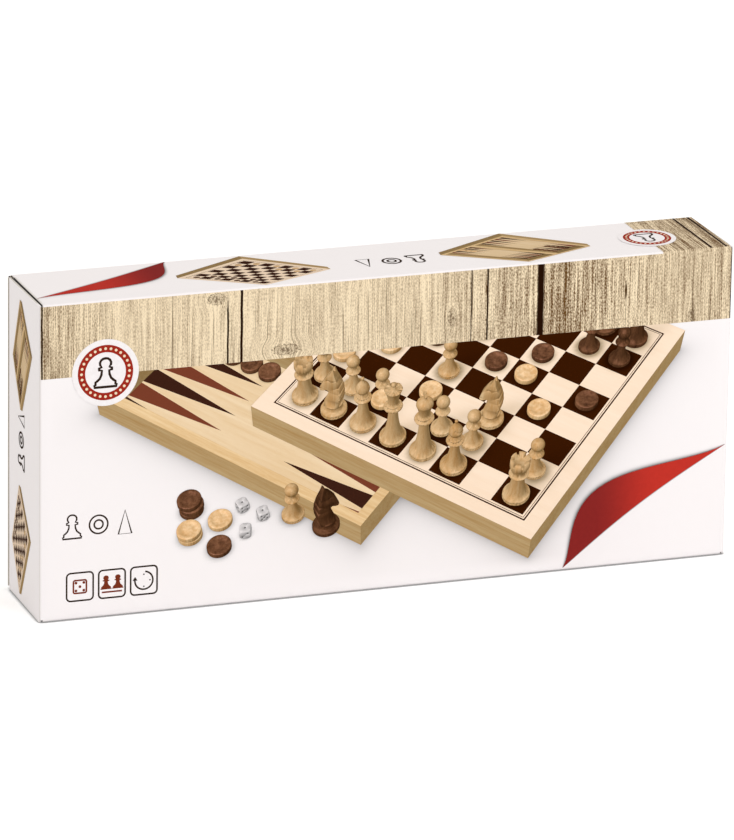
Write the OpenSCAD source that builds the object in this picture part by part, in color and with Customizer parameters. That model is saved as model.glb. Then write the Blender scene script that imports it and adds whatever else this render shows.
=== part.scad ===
// Games compendium box: a white tuck-end carton standing on its long narrow side,
// with the folding wooden case, its chessmen, draughts and dice, and a leaflet in it.
// Origin: middle of the face it stands on. +X runs along the carton to the right,
// the front panel faces -Y, +Z is up. Sizes are in millimetres, angles in degrees.
// The sizes build outwards: games, then the case round them, then the carton round the case.

/* [Playing pieces] */
// Diameter of a draught
draught_diameter = 22; // [18:0.5:26]
// Thickness of a draught
draught_thickness = 6; // [4:0.5:8]
// Columns that the draughts of one colour are stacked in
draught_columns = 3; // [3:1:5]
// Draughts in one column
draughts_in_column = 5; // [3:1:8]
// Foot diameter of king, queen, bishops, knights and rooks
officer_foot = 19.5; // [17:0.5:22]
// Foot diameter of a pawn
pawn_foot = 16.5; // [14:0.5:19]
// Height of a king with its cross
king_height = 64; // [54:1:80]
// Height of a queen
queen_height = 58; // [48:1:74]
// Height of a bishop
bishop_height = 50; // [42:1:64]
// Height of a knight
knight_height = 46; // [40:1:58]
// Height of a rook
rook_height = 40; // [34:1:52]
// Height of a pawn
pawn_height = 34; // [28:1:46]
// Edge of a die
die_edge = 10; // [8:0.5:12]
// Edge of the doubling cube
doubling_cube_edge = 14; // [12:0.5:16]
// Least gap between neighbouring pieces
piece_gap = 0.5; // [0.3:0.1:1]

/* [Wooden case] */
// Width of the folded case, which stands upright in the carton
case_width = 175; // [150:1:200]
// Length left over at the end of the rows of pieces
spare_length = 8.5; // [2:0.5:40]
// Thickness of the frame rails
rail_width = 10; // [8:0.5:14]
// Thickness of the chequered board panels
panel_thickness = 4; // [3:0.5:6]
// Depth that a panel lies below the rail edges
panel_recess = 0.25; // [0.1:0.05:0.6]
// Width of the rebate that holds a panel
panel_rebate = 4; // [3:0.5:6]
// Gap round a panel in its rebate
panel_clearance = 0.15; // [0.1:0.05:0.4]
// Radius of the eased outer edges
edge_radius = 1.2; // [0.5:0.1:2]

/* [Case hinges and catches] */
// Distance between the two hinges
hinge_spacing = 236; // [150:2:260]
// Length of a hinge
hinge_length = 30; // [20:1:40]
// Width of a hinge leaf on the rail
leaf_width = 7.5; // [5.5:0.5:7.5]
// Thickness of a hinge leaf
leaf_thickness = 0.9; // [0.6:0.1:1.2]
// Radius of a hinge barrel
barrel_radius = 1.75; // [1.5:0.05:2]
// Radius of a hinge pin
pin_radius = 0.9; // [0.7:0.05:1]
// Height of the barrel's middle above the rails
barrel_rise = 0.2; // [0:0.1:0.4]
// Knuckles of one hinge
knuckles = 5; // [3:2:7]
// Length of a hinge screw behind the leaf
screw_length = 6; // [4:0.5:9]
// Radius of a screw's shank
screw_radius = 0.8; // [0.6:0.1:1]
// Radius of a screw's countersunk head
screw_head_radius = 1.7; // [1.3:0.1:2]
// Distance between the two catches
catch_spacing = 236; // [150:2:280]
// Diameter of a catch disc
catch_diameter = 6; // [4:0.5:7]
// Thickness of a catch disc
catch_thickness = 2; // [1.5:0.5:4]

/* [Carton] */
// Thickness of the board
board = 1.2; // [0.8:0.1:1.6]
// Outer radius of the folded edges
fold_radius = 1.6; // [1.2:0.1:2.4]
// Gap between the case and the front panel
front_clearance = 0.3; // [0.2:0.1:1]
// Gap between the case and a tucked-in lip
lip_gap = 1.8; // [1:0.1:4]
// Gap between the case and the dust flaps
end_clearance = 0.6; // [0.5:0.1:4]
// Gap above the case, which holds the hinge barrels
head_clearance = 2.6; // [2.3:0.1:6]
// Gap between an end closure and the dust flaps behind it
layer_gap = 1; // [0.2:0.1:1.6]
// Gap between an end closure and the cut ends of the back panel
back_end_gap = 0.3; // [0.2:0.1:1]
// Gap between an end closure's cut edges and the top and bottom faces, at the front fold
edge_gap = 0.3; // [0.2:0.1:1]
// How much further in the cut edges of a closure lie at its lip
edge_taper = 0.7; // [0:0.1:1.2]
// Length of the tuck lips
lip_depth = 14; // [10:0.5:18]
// Radius of a tuck lip's free corners
lip_corner = 9; // [4:0.5:10]
// Gap between a lip's ends and the top and bottom panels
lip_end_gap = 1; // [0.6:0.1:3]
// Play left between a swinging lip and the back panel
swing_clearance = 0.23; // [0.2:0.01:0.6]
// Share of a closure's turn by which its lip folds in
lip_follow = 0.2; // [0:0.05:0.3]
// Length of the dust flaps
flap_length = 42; // [30:1:60]
// Share of a closure's turn by which the dust flaps turn
flap_follow = 0.5; // [0.3:0.05:0.6]
// Radius of a dust flap's rear tip corner
flap_corner = 8; // [3:0.5:12]
// Distance of a dust flap from the front fold
flap_shoulder = 2.2; // [1.8:0.1:5]
// Gap between a dust flap and the lip behind it
flap_rear_gap = 1.6; // [1.4:0.1:4]
// Width of the glued lap
lap_width = 16; // [10:1:25]
// Distance of the glued lap from the carton's ends
lap_setback = 24; // [20:1:40]

/* [Leaflet] */
// Length of the folded rules leaflet
leaflet_length = 148; // [90:1:210]
// Width of the folded rules leaflet
leaflet_width = 105; // [80:1:150]
// Thickness of the folded rules leaflet
leaflet_thickness = 0.8; // [0.4:0.1:1]

/* [Hidden] */
$fn = 48;

FRONT = -1;
BACK = 1;
LIGHT = FRONT; // the light pieces stand in the front row
DARK = BACK; // the dark pieces stand in the back row
CARTON_WHITE = "#f6f3f1";
RAIL_WOOD = "#dcc291";
BOARD_WOOD = "#ecd9b0";
HINGE_BRASS = "#8a6a3c";
PIECE_COLOURS = ["#e9cf9c", "#4a2416"];

// Play of small metal parts in the wood, of a pin in its barrel, and between stacked pieces
fitting_play = 0.1;
pin_play = 0.05;
stack_play = 0.1;
eps = 0.01;

// Games: the rows run from the left end of the case to the right
officer_pitch = officer_foot + piece_gap;
pawn_pitch = pawn_foot + piece_gap;
draught_pitch = draught_diameter + piece_gap;
draught_level = draught_thickness + stack_play;
pieces_in_rank = 8;
interior_length = pieces_in_rank * (officer_pitch + pawn_pitch)
  + draught_columns * draught_pitch + spare_length;
widest_piece = max(draught_diameter, officer_foot, pawn_foot);
interior_depth = 2 * widest_piece + 3 * piece_gap;
row_start = -interior_length / 2 + piece_gap / 2;
row_offset = (widest_piece + piece_gap) / 2;

// Case
tray_depth = interior_depth / 2 + panel_thickness + panel_recess;
case_depth = 2 * tray_depth;
case_length = interior_length + 2 * rail_width;

// Carton, with each end folded about the front panel's vertical edge
end_layers = 2 * board + layer_gap;
carton_length = case_length + 2 * (end_layers + end_clearance);
closure_reach = 2 * board + front_clearance + case_depth + lip_gap;
lip_swing = pow(lip_depth * (1 - lip_follow), 2) / (2 * closure_reach);
carton_depth = closure_reach + lip_swing + swing_clearance + board;
carton_height = case_width + head_clearance + 2 * board;
flap_plane = board + layer_gap;
flap_rear = closure_reach - board - flap_rear_gap;

// Places in the carton
case_floor = board;
case_front = -carton_depth / 2 + board + front_clearance;
case_middle = case_front + tray_depth;
shelf = case_floor + rail_width;
hinge_height = case_floor + case_width + barrel_rise;

// ---------------------------------------------------------------- outlines

// Points along an arc round [x, y]
function arc(x, y, r, from, to, steps = 4) =
  [for (i = [0:steps]) let (a = from + (to - from) * i / steps) [x + r * cos(a), y + r * sin(a)]];

function swapped(points) = [for (p = points) [p.y, p.x]];

// Section of a panel whose end is folded: the outer face lies on y = 0, and the
// panel owns its half of the rounded corner at the origin, up to the mitre
function half_fold(length) =
  concat(arc(fold_radius, fold_radius, fold_radius, 225, 270),
    [[length, 0], [length, board], [board, board]]);

// Outline of a rectangle with rounded corners, from [0, 0] to size
function rounded(size, r) = concat(
  arc(r, r, r, 180, 270), arc(size.x - r, r, r, 270, 360),
  arc(size.x - r, size.y - r, r, 0, 90), arc(r, size.y - r, r, 90, 180));

// ---------------------------------------------------------------- carton

// Draws in the left end's own frame: the front vertical edge is the Z axis
module at_left_end() {
  translate([-carton_length / 2, -carton_depth / 2, 0])
    children();
}

// Side: FRONT draws the left end as it is, BACK draws its mirror at the right end
module at_end(side) {
  mirror([side > 0 ? 1 : 0, 0, 0])
    at_left_end()
      children();
}

module mirrored_up(upper) {
  translate([0, 0, upper ? carton_height : 0])
    mirror([0, 0, upper ? 1 : 0])
      children();
}

// Turns an outline in x and z, drawn from y = 0, into a plate of that depth in y
module plate_xz(depth) {
  translate([0, depth, 0])
    rotate([90, 0, 0])
      linear_extrude(depth)
        children();
}

// Four walls folded from one sheet, seen along the carton
module tube() {
  length = carton_length - 2 * flap_plane;
  translate([-length / 2, -carton_depth / 2, 0])
    rotate([90, 0, 90])
      linear_extrude(length)
        difference() {
          polygon(rounded([carton_depth, carton_height], fold_radius));
          translate([board, board])
            polygon(rounded([carton_depth - 2 * board, carton_height - 2 * board],
              fold_radius - board));
        }
}

// What the sheet lacks at a dust flap's crease, outside the mitred fold
module crease_cutter() {
  over = 1;
  translate([flap_plane, flap_shoulder, 0])
    plate_xz(flap_rear - flap_shoulder)
      polygon(concat([[-over, -over], [fold_radius, -over]],
        [for (p = arc(fold_radius, fold_radius, fold_radius, 270, 225)) p],
        [[board + over, board + over], [-over, board + over]]));
}

module carton_sleeve() {
  stub_height = carton_height - 2 * fold_radius;
  overlap = 2;
  color(CARTON_WHITE) {
    difference() {
      tube();
      for (side = [FRONT, BACK], upper = [false, true])
        at_end(side)
          mirrored_up(upper)
            crease_cutter();
    }
    for (side = [FRONT, BACK])
      at_end(side)
        translate([0, 0, fold_radius]) {
          linear_extrude(stub_height)
            polygon(half_fold(flap_plane + overlap));
          translate([back_end_gap, carton_depth - board, 0])
            cube([flap_plane + overlap - back_end_gap, board, stub_height]);
        }
    // glued lap, folded up from the bottom panel inside the back panel
    translate([lap_setback - carton_length / 2, carton_depth / 2 - 2 * board, board - eps])
      cube([carton_length - 2 * lap_setback, board + eps, lap_width]);
  }
}

// Its cut edges run in towards the lip, so that it drops between the dust flaps' folds
module end_closure(side) {
  lip_edge = edge_gap + edge_taper;
  color(CARTON_WHITE)
    at_end(side)
      intersection() {
        linear_extrude(carton_height)
          polygon(concat(
            arc(fold_radius, fold_radius, fold_radius, 225, 180),
            arc(fold_radius, closure_reach - fold_radius, fold_radius, 180, 135),
            [[board, closure_reach - board], [board, board]]));
        translate([-1, 0, 0])
          rotate([90, 0, 90])
            linear_extrude(board + 2)
              polygon([[0, edge_gap], [closure_reach, lip_edge],
                [closure_reach, carton_height - lip_edge], [0, carton_height - edge_gap]]);
      }
}

module tuck_lip(side) {
  inset = board + lip_end_gap;
  height = carton_height - 2 * inset;
  corner = min(lip_corner, lip_depth - fold_radius);
  color(CARTON_WHITE)
    at_end(side)
      translate([0, 0, inset])
        intersection() {
          linear_extrude(height)
            translate([0, closure_reach])
              mirror([0, 1])
                polygon(half_fold(lip_depth));
          plate_xz(closure_reach + 1)
            polygon(concat([[0, 0]],
              arc(lip_depth - corner, corner, corner, 270, 360, 6),
              arc(lip_depth - corner, height - corner, corner, 0, 90, 6),
              [[0, height]]));
        }
}

// The front side runs back as the flap gets longer, so that the flap, which turns
// by flap_follow of the closure's turn, stays behind the opening closure
module dust_flap(side, upper) {
  slope = flap_follow + 0.05;
  tip_front = flap_shoulder + slope * flap_length;
  rear_step = 3;
  tip_rear = flap_rear - rear_step;
  corner = min(flap_corner, tip_rear - tip_front - 2);
  color(CARTON_WHITE)
    at_end(side)
      mirrored_up(upper)
        translate([flap_plane, 0, 0])
          intersection() {
            plate_xz(carton_depth)
              polygon(swapped(half_fold(flap_length)));
            rotate([90, 0, 90])
              linear_extrude(board)
                polygon(concat(
                  [[flap_shoulder, 0], [flap_rear, 0], [flap_rear, flap_length / 4],
                   [tip_rear, flap_length / 4 + rear_step]],
                  arc(tip_rear - corner, flap_length - corner, corner, 0, 90, 6),
                  [[tip_front + 1, flap_length], [tip_front - slope, flap_length - 1]]));
          }
}

// ---------------------------------------------------------------- wooden case

// A tray is drawn lying on its board: x along it, y from the catches to the hinges,
// z from the outer face to the rim. Here it is stood up in the carton.
module stood_up(side) {
  translate([0, case_middle + side * tray_depth, case_floor])
    mirror([0, side < 0 ? 1 : 0, 0])
      rotate([90, 0, 0])
        children();
}

// Section of a rail, from its outer side, with the rebate for the panel
module rail_section() {
  seat = panel_recess + panel_thickness;
  polygon(concat(
    arc(edge_radius, edge_radius, edge_radius, 180, 270),
    [[rail_width - panel_rebate, 0], [rail_width - panel_rebate, seat],
     [rail_width, seat], [rail_width, tray_depth], [0, tray_depth]]));
}

// A rail along y = 0, mitred at both ends
module long_rail() {
  intersection() {
    translate([-case_length / 2, 0, 0])
      rotate([90, 0, 90])
        linear_extrude(case_length)
          rail_section();
    linear_extrude(tray_depth)
      polygon([[-case_length / 2, 0], [case_length / 2, 0],
        [case_length / 2 - rail_width, rail_width], [rail_width - case_length / 2, rail_width]]);
  }
}

// A rail along the left end, mitred at both ends
module short_rail() {
  intersection() {
    translate([-case_length / 2, case_width, 0])
      rotate([90, 0, 0])
        linear_extrude(case_width)
          rail_section();
    translate([-case_length / 2, 0, 0])
      linear_extrude(tray_depth)
        polygon([[0, 0], [rail_width, rail_width],
          [rail_width, case_width - rail_width], [0, case_width]]);
  }
}

module tray_bottom_rail(side) {
  color(RAIL_WOOD)
    stood_up(side)
      difference() {
        long_rail();
        for (x = [-catch_spacing / 2, catch_spacing / 2])
          translate([x, rail_width / 2, tray_depth - catch_thickness - fitting_play])
            cylinder(r = catch_diameter / 2 + fitting_play, h = catch_thickness + 1);
      }
}

module tray_top_rail(side) {
  color(RAIL_WOOD)
    difference() {
      stood_up(side)
        translate([0, case_width, 0])
          mirror([0, 1, 0])
            long_rail();
      at_hinges()
        hinge_seat(side);
    }
}

module tray_end_rail(side, right) {
  color(RAIL_WOOD)
    stood_up(side)
      mirror([right ? 1 : 0, 0, 0])
        short_rail();
}

module board_panel(side) {
  margin = rail_width - panel_rebate + panel_clearance;
  color(BOARD_WOOD)
    stood_up(side)
      translate([margin - case_length / 2, margin, panel_recess])
        cube([case_length - 2 * margin, case_width - 2 * margin, panel_thickness]);
}

module catch_discs(side) {
  color("#4b4a48")
    stood_up(side)
      for (x = [-catch_spacing / 2, catch_spacing / 2])
        translate([x, rail_width / 2, tray_depth - catch_thickness - fitting_play])
          cylinder(d = catch_diameter, h = catch_thickness);
}

// ---------------------------------------------------------------- hinges

// A hinge is drawn round its barrel's middle, with its leaves hanging down
module at_hinges() {
  for (x = [-hinge_spacing / 2, hinge_spacing / 2])
    translate([x, case_middle, hinge_height])
      children();
}

module along_x(radius, from, to) {
  translate([from, 0, 0])
    rotate([0, 90, 0])
      cylinder(r = radius, h = to - from);
}

// The knuckles of one leaf: the front leaf has the outer ones
module leaf_knuckles(side, radius, play) {
  step = hinge_length / knuckles;
  for (i = [side < 0 ? 0 : 1 : 2 : knuckles - 1])
    along_x(radius, i * step - hinge_length / 2 + play, (i + 1) * step - hinge_length / 2 - play);
}

module leaf_plate(side, play) {
  thickness = leaf_thickness + play;
  width = leaf_width + barrel_rise + play;
  translate([-hinge_length / 2 - play, side < 0 ? -thickness - pin_play : pin_play, -width])
    cube([hinge_length + 2 * play, thickness, width]);
}

// One screw with its countersunk head flush in the leaf, point into the rail
module leaf_screw(side, play) {
  rotate([-90 * side, 0, 0])
    translate([0, 0, pin_play]) {
      cylinder(r1 = screw_head_radius + play, r2 = screw_radius + play, h = leaf_thickness);
      cylinder(r = screw_radius + play, h = leaf_thickness + screw_length + play);
    }
}

module at_leaf_screws() {
  for (x = [-hinge_length / 4, hinge_length / 4])
    translate([x, 0, -barrel_rise - leaf_width * 0.55])
      children();
}

// What a rail lacks where a hinge is let into it
module hinge_seat(side) {
  leaf_plate(side, fitting_play);
  along_x(barrel_radius + 2 * fitting_play, -hinge_length / 2 - 1, hinge_length / 2 + 1);
  at_leaf_screws()
    leaf_screw(side, fitting_play);
}

module hinge_leaves(side) {
  color(HINGE_BRASS)
    at_hinges()
      difference() {
        union() {
          difference() {
            leaf_plate(side, 0);
            leaf_knuckles(-side, barrel_radius + fitting_play, -fitting_play);
          }
          leaf_knuckles(side, barrel_radius, pin_play);
        }
        along_x(pin_radius + pin_play, -hinge_length, hinge_length);
        at_leaf_screws()
          leaf_screw(side, pin_play);
      }
}

module hinge_pins() {
  color(HINGE_BRASS)
    at_hinges()
      along_x(pin_radius, -hinge_length / 2 - 0.5, hinge_length / 2 + 0.5);
}

module hinge_screws() {
  color("#a98a52")
    at_hinges()
      at_leaf_screws()
        for (side = [FRONT, BACK])
          leaf_screw(side, 0);
}

// ---------------------------------------------------------------- chessmen

// Turned foot and stem up to the collar: a plinth, a bead, and a sweep to the neck
function stem(r, neck, collar_z) =
  let (plinth = 0.16 * r, bead = 0.14 * r, low = plinth + 2 * bead)
    concat([[0, 0], [0.95 * r, 0], [r, 0.05 * r], [r, plinth]],
      arc(r - bead, plinth + bead, bead, -70, 90),
      [for (i = [1:8]) let (u = i / 8)
        [neck + (0.76 * r - neck) * pow(1 - u, 2.3), low + (collar_z - low) * u]]);

// A turned ring round the stem
function ring(r, z, thickness) =
  arc(r - thickness / 2, z + thickness / 2, thickness / 2, -90, 90);

module turned(points) {
  rotate_extrude()
    polygon(points);
}

module pawn(h, r) {
  ball = 0.6 * r;
  collar = 0.55 * h;
  turned(concat(stem(r, 0.33 * r, collar),
    ring(0.66 * r, collar, 0.06 * h), [[0.34 * r, collar + 0.08 * h]],
    arc(0, h - ball, ball, -62, 90, 10)));
}

module rook(h, r) {
  collar = 0.6 * h;
  wall = 0.66 * r;
  difference() {
    turned(concat(stem(r, 0.46 * r, collar),
      ring(0.72 * r, collar, 0.05 * h), [[0.5 * r, collar + 0.07 * h],
        [wall, 0.8 * h], [wall + 0.05 * r, 0.83 * h], [wall + 0.05 * r, h - 0.4], [wall, h],
        [0.46 * r, h], [0.46 * r, 0.9 * h], [0, 0.9 * h]]));
    for (turn = [0, 60, 120])
      rotate([0, 0, turn])
        translate([-r, -0.11 * r, 0.91 * h])
          cube([2 * r, 0.22 * r, h]);
  }
}

module bishop(h, r) {
  collar = 0.56 * h;
  head_low = 0.66 * h;
  head_high = 0.95 * h;
  head = 0.52 * r;
  knob = 0.13 * r;
  difference() {
    turned(concat(stem(r, 0.32 * r, collar),
      ring(0.66 * r, collar, 0.04 * h), ring(0.48 * r, collar + 0.05 * h, 0.03 * h),
      [for (i = [1:9]) let (u = i / 10)
        [head * sin(180 * pow(u, 0.72)), head_low + (head_high - head_low) * u]],
      arc(0, h - knob, knob, -50, 90)));
    translate([0.12 * r, -r, 0.83 * h])
      rotate([0, 35, 0])
        cube([r, 2 * r, 0.02 * h]);
  }
}

module queen(h, r) {
  collar = 0.58 * h;
  rim = 0.66 * r;
  knob = 0.17 * r;
  notches = 8;
  difference() {
    turned(concat(stem(r, 0.35 * r, collar),
      ring(0.7 * r, collar, 0.035 * h), ring(0.54 * r, collar + 0.045 * h, 0.03 * h),
      [for (i = [0:6]) let (u = i / 6)
        [0.38 * r + (rim - 0.38 * r) * pow(u, 1.8), 0.68 * h + 0.22 * h * u]],
      [[rim - 0.12 * r, 0.91 * h], [0.42 * r, 0.9 * h], [0.2 * r, 0.935 * h]],
      arc(0, h - knob, knob, -50, 90)));
    for (i = [0:notches - 1])
      rotate([0, 0, i * 360 / notches])
        translate([rim, 0, 0.93 * h])
          rotate([0, 90, 0])
            cylinder(r = 0.035 * h, h = r, center = true, $fn = 24);
  }
}

module king(h, r) {
  collar = 0.56 * h;
  crown = 0.62 * r;
  cross = 0.16 * r;
  cross_low = 0.87 * h;
  turned(concat(stem(r, 0.36 * r, collar),
    ring(0.72 * r, collar, 0.035 * h), ring(0.56 * r, collar + 0.045 * h, 0.03 * h),
    [for (i = [0:5]) let (u = i / 5)
      [0.4 * r + (crown - 0.4 * r) * pow(u, 1.5), 0.655 * h + 0.15 * h * u]],
    arc(0.2 * r, 0.81 * h, crown - 0.2 * r, 10, 80), [[0.2 * r, 0.875 * h], [0, 0.885 * h]]));
  translate([-cross / 2, -cross / 2, cross_low])
    cube([cross, cross, h - cross_low]);
  translate([-cross * 1.6, -cross / 2, 0.93 * h])
    cube([cross * 3.2, cross, 0.03 * h]);
}

// Side outline of a horse's head and neck, as shares of the foot's radius and the height
KNIGHT_SIDE = [
  [-0.56, 0.2], [-0.68, 0.32], [-0.74, 0.46], [-0.68, 0.6], [-0.5, 0.74], [-0.26, 0.86],
  [-0.1, 1], [0.04, 0.93], [0.12, 0.87], [0.36, 0.81], [0.62, 0.71], [0.86, 0.61],
  [0.9, 0.56], [0.82, 0.52], [0.6, 0.53], [0.38, 0.56], [0.18, 0.53], [0.3, 0.44],
  [0.5, 0.34], [0.56, 0.2]];
// Half of the same head seen from the front
KNIGHT_FRONT = [[0, 0.2], [0.56, 0.2], [0.5, 0.34], [0.44, 0.5], [0.42, 0.62], [0.36, 0.78],
  [0.3, 0.88], [0.2, 1], [0.05, 0.92], [0, 0.92]];

module knight(h, r) {
  plate = 2 * r;
  turned(concat(stem(r, 0.6 * r, 0.17 * h), ring(0.7 * r, 0.17 * h, 0.04 * h), [[0, 0.21 * h]]));
  difference() {
    intersection() {
      translate([0, -plate / 2, 0])
        plate_xz(plate)
          polygon([for (p = KNIGHT_SIDE) [p.x * r, p.y * h]]);
      rotate([90, 0, 90])
        translate([0, 0, -plate / 2])
          linear_extrude(plate)
            polygon(concat([for (p = KNIGHT_FRONT) [p.x * r, p.y * h]],
              [for (i = [len(KNIGHT_FRONT) - 1:-1:0])
                [-KNIGHT_FRONT[i].x * r, KNIGHT_FRONT[i].y * h]]));
    }
    // eyes, mouth and the cuts of the mane
    for (flank = [-1, 1])
      translate([0.26 * r, flank * 0.42 * r, 0.76 * h])
        rotate([90, 0, 0])
          cylinder(r = 0.07 * r, h = 0.16 * r, center = true, $fn = 16);
    translate([0.6 * r, -r, 0.555 * h])
      rotate([0, -12, 0])
        cube([r, 2 * r, 0.05 * r]);
    for (i = [0:3])
      translate([(-0.98 + 0.06 * i * i) * r, -r, (0.42 + 0.115 * i) * h])
        rotate([0, 30, 0])
          cube([0.45 * r, 2 * r, 0.06 * r]);
  }
}

function row_y(colour) = case_middle + colour * row_offset;
function row_colour(colour) = PIECE_COLOURS[colour == LIGHT ? 0 : 1];
function officer_x(place) = row_start + (place + 0.5) * officer_pitch;
function pawn_x(place) = row_start + pieces_in_rank * officer_pitch + (place + 0.5) * pawn_pitch;
function column_x(place) = row_start + pieces_in_rank * (officer_pitch + pawn_pitch)
  + (place + 0.5) * draught_pitch;

// Officers of one kind at their places in the rank, as they are lined up on the rail
module officers(colour, places) {
  color(row_colour(colour))
    for (place = places)
      translate([officer_x(place), row_y(colour), shelf])
        rotate([0, 0, place < pieces_in_rank / 2 ? 0 : 180])
          children();
}

module kings(colour) { officers(colour, [4]) king(king_height, officer_foot / 2); }
module queens(colour) { officers(colour, [3]) queen(queen_height, officer_foot / 2); }
module bishops(colour) { officers(colour, [2, 5]) bishop(bishop_height, officer_foot / 2); }
module knights(colour) { officers(colour, [1, 6]) knight(knight_height, officer_foot / 2); }
module rooks(colour) { officers(colour, [0, 7]) rook(rook_height, officer_foot / 2); }

module pawns(colour) {
  color(row_colour(colour))
    for (place = [0:pieces_in_rank - 1])
      translate([pawn_x(place), row_y(colour), shelf])
        pawn(pawn_height, pawn_foot / 2);
}

// ---------------------------------------------------------------- draughts and dice

// A turned draught with a raised rim, a ring and a boss on both faces
module draught() {
  r = draught_diameter / 2;
  t = draught_thickness;
  dish = 0.1 * t;
  edge = 0.16 * t;
  lower = concat([[0, 0.5 * dish], [0.3 * r, 0.5 * dish], [0.38 * r, dish], [0.66 * r, dish],
    [0.72 * r, 0]], arc(r - edge, edge, edge, 270, 360));
  turned(concat(lower, [for (i = [len(lower) - 1:-1:0]) [lower[i].x, t - lower[i].y]]));
}

module draughts(colour) {
  color(row_colour(colour))
    for (column = [0:draught_columns - 1], level = [0:draughts_in_column - 1])
      translate([column_x(column), row_y(colour), shelf + level * draught_level])
        draught();
}

// A cube with its corners turned off and its edges left
module rounded_cube(edge) {
  translate([0, 0, edge / 2])
    intersection() {
      cube(edge, center = true);
      sphere(r = 0.74 * edge);
    }
}

// Places of the pips on a face, for one to six, as shares of the pip pitch
function pips(count) = concat(
  count % 2 == 1 ? [[0, 0]] : [],
  count > 1 ? [[-1, -1], [1, 1]] : [],
  count > 3 ? [[-1, 1], [1, -1]] : [],
  count == 6 ? [[-1, 0], [1, 0]] : []);

// Opposite faces add up to seven
FACE_TURNS = [[0, 0, 0], [90, 0, 0], [0, 90, 0], [0, -90, 0], [-90, 0, 0], [180, 0, 0]];

module die() {
  depth = 0.03 * die_edge;
  difference() {
    rounded_cube(die_edge);
    translate([0, 0, die_edge / 2])
      for (count = [1:6])
        rotate(FACE_TURNS[count - 1])
          for (p = pips(count))
            translate([p.x * 0.25 * die_edge, p.y * 0.25 * die_edge, die_edge / 2 - depth])
              cylinder(r = 0.08 * die_edge, h = 1, $fn = 16);
  }
}

// On top of a column of draughts
module on_column(colour, column) {
  translate([column_x(column), row_y(colour), shelf + draughts_in_column * draught_level])
    children();
}

module light_dice() {
  color("#f1efe9")
    for (column = [0, 1])
      on_column(LIGHT, column)
        rotate([0, 0, 12])
          die();
}

module dark_dice() {
  color("#6b2418")
    for (column = [0, 1])
      on_column(DARK, column)
        rotate([0, 0, -9])
          die();
}

module doubling_cube() {
  color("#e6dcc4")
    on_column(LIGHT, 2)
      rounded_cube(doubling_cube_edge);
}

// ---------------------------------------------------------------- leaflet

// Folded sheets standing behind the case, with the fold below
module rules_leaflet() {
  r = leaflet_thickness / 2;
  color("#fbfaf6")
    translate([-leaflet_length / 2, case_front + case_depth + fitting_play + r, board]) {
      translate([0, 0, r])
        along_x(r, 0, leaflet_length);
      translate([0, -r, r])
        cube([leaflet_length, leaflet_thickness, leaflet_width - r]);
    }
}

// ---------------------------------------------------------------- nodes

carton_sleeve();
end_closure(FRONT);  // left_end_closure
tuck_lip(FRONT);  // left_tuck_lip
dust_flap(FRONT, true);  // left_upper_dust_flap
dust_flap(FRONT, false);  // left_lower_dust_flap
end_closure(BACK);  // right_end_closure
tuck_lip(BACK);  // right_tuck_lip
dust_flap(BACK, true);  // right_upper_dust_flap
dust_flap(BACK, false);  // right_lower_dust_flap
tray_bottom_rail(FRONT);  // front_tray_bottom_rail
tray_top_rail(FRONT);  // front_tray_top_rail
tray_end_rail(FRONT, false);  // front_tray_left_rail
tray_end_rail(FRONT, true);  // front_tray_right_rail
board_panel(FRONT);  // front_board_panel
tray_bottom_rail(BACK);  // back_tray_bottom_rail
tray_top_rail(BACK);  // back_tray_top_rail
tray_end_rail(BACK, false);  // back_tray_left_rail
tray_end_rail(BACK, true);  // back_tray_right_rail
board_panel(BACK);  // back_board_panel
hinge_leaves(FRONT);  // front_hinge_leaves
hinge_leaves(BACK);  // back_hinge_leaves
hinge_pins();
hinge_screws();
catch_discs(FRONT);  // front_catch_discs
catch_discs(BACK);  // back_catch_discs
kings(LIGHT);  // light_king
queens(LIGHT);  // light_queen
bishops(LIGHT);  // light_bishops
knights(LIGHT);  // light_knights
rooks(LIGHT);  // light_rooks
pawns(LIGHT);  // light_pawns
kings(DARK);  // dark_king
queens(DARK);  // dark_queen
bishops(DARK);  // dark_bishops
knights(DARK);  // dark_knights
rooks(DARK);  // dark_rooks
pawns(DARK);  // dark_pawns
draughts(LIGHT);  // light_draughts
draughts(DARK);  // dark_draughts
light_dice();
dark_dice();
doubling_cube();
rules_leaflet();
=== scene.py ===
"""Dresses the games compendium box: board, print, wooden case, games and studio."""

import math
from contextlib import contextmanager
from functools import partial

import bpy
import numpy as np
from mathutils import Matrix, Vector


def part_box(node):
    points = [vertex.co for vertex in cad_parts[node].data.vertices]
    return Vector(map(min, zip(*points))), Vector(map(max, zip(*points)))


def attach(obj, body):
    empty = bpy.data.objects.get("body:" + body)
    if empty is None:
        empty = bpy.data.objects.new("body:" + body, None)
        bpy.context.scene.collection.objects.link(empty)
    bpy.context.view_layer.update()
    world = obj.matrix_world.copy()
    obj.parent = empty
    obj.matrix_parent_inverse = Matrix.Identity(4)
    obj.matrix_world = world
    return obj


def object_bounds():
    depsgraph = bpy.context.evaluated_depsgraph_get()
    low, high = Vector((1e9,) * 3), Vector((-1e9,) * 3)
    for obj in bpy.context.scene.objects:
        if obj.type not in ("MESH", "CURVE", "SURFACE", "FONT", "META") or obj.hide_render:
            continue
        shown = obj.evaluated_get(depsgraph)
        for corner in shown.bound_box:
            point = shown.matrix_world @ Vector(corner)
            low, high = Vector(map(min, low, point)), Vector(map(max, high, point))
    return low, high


bl_info = {
    "name": "Games Compendium Box",
    "version": (1, 0, 0),
    "blender": (4, 5, 0),
    "location": "3D Viewport > Sidebar > Games Box",
    "description": "Finishes the carton, its print, the folding case and its games, and the studio",
    "category": "Object",
}

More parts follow.
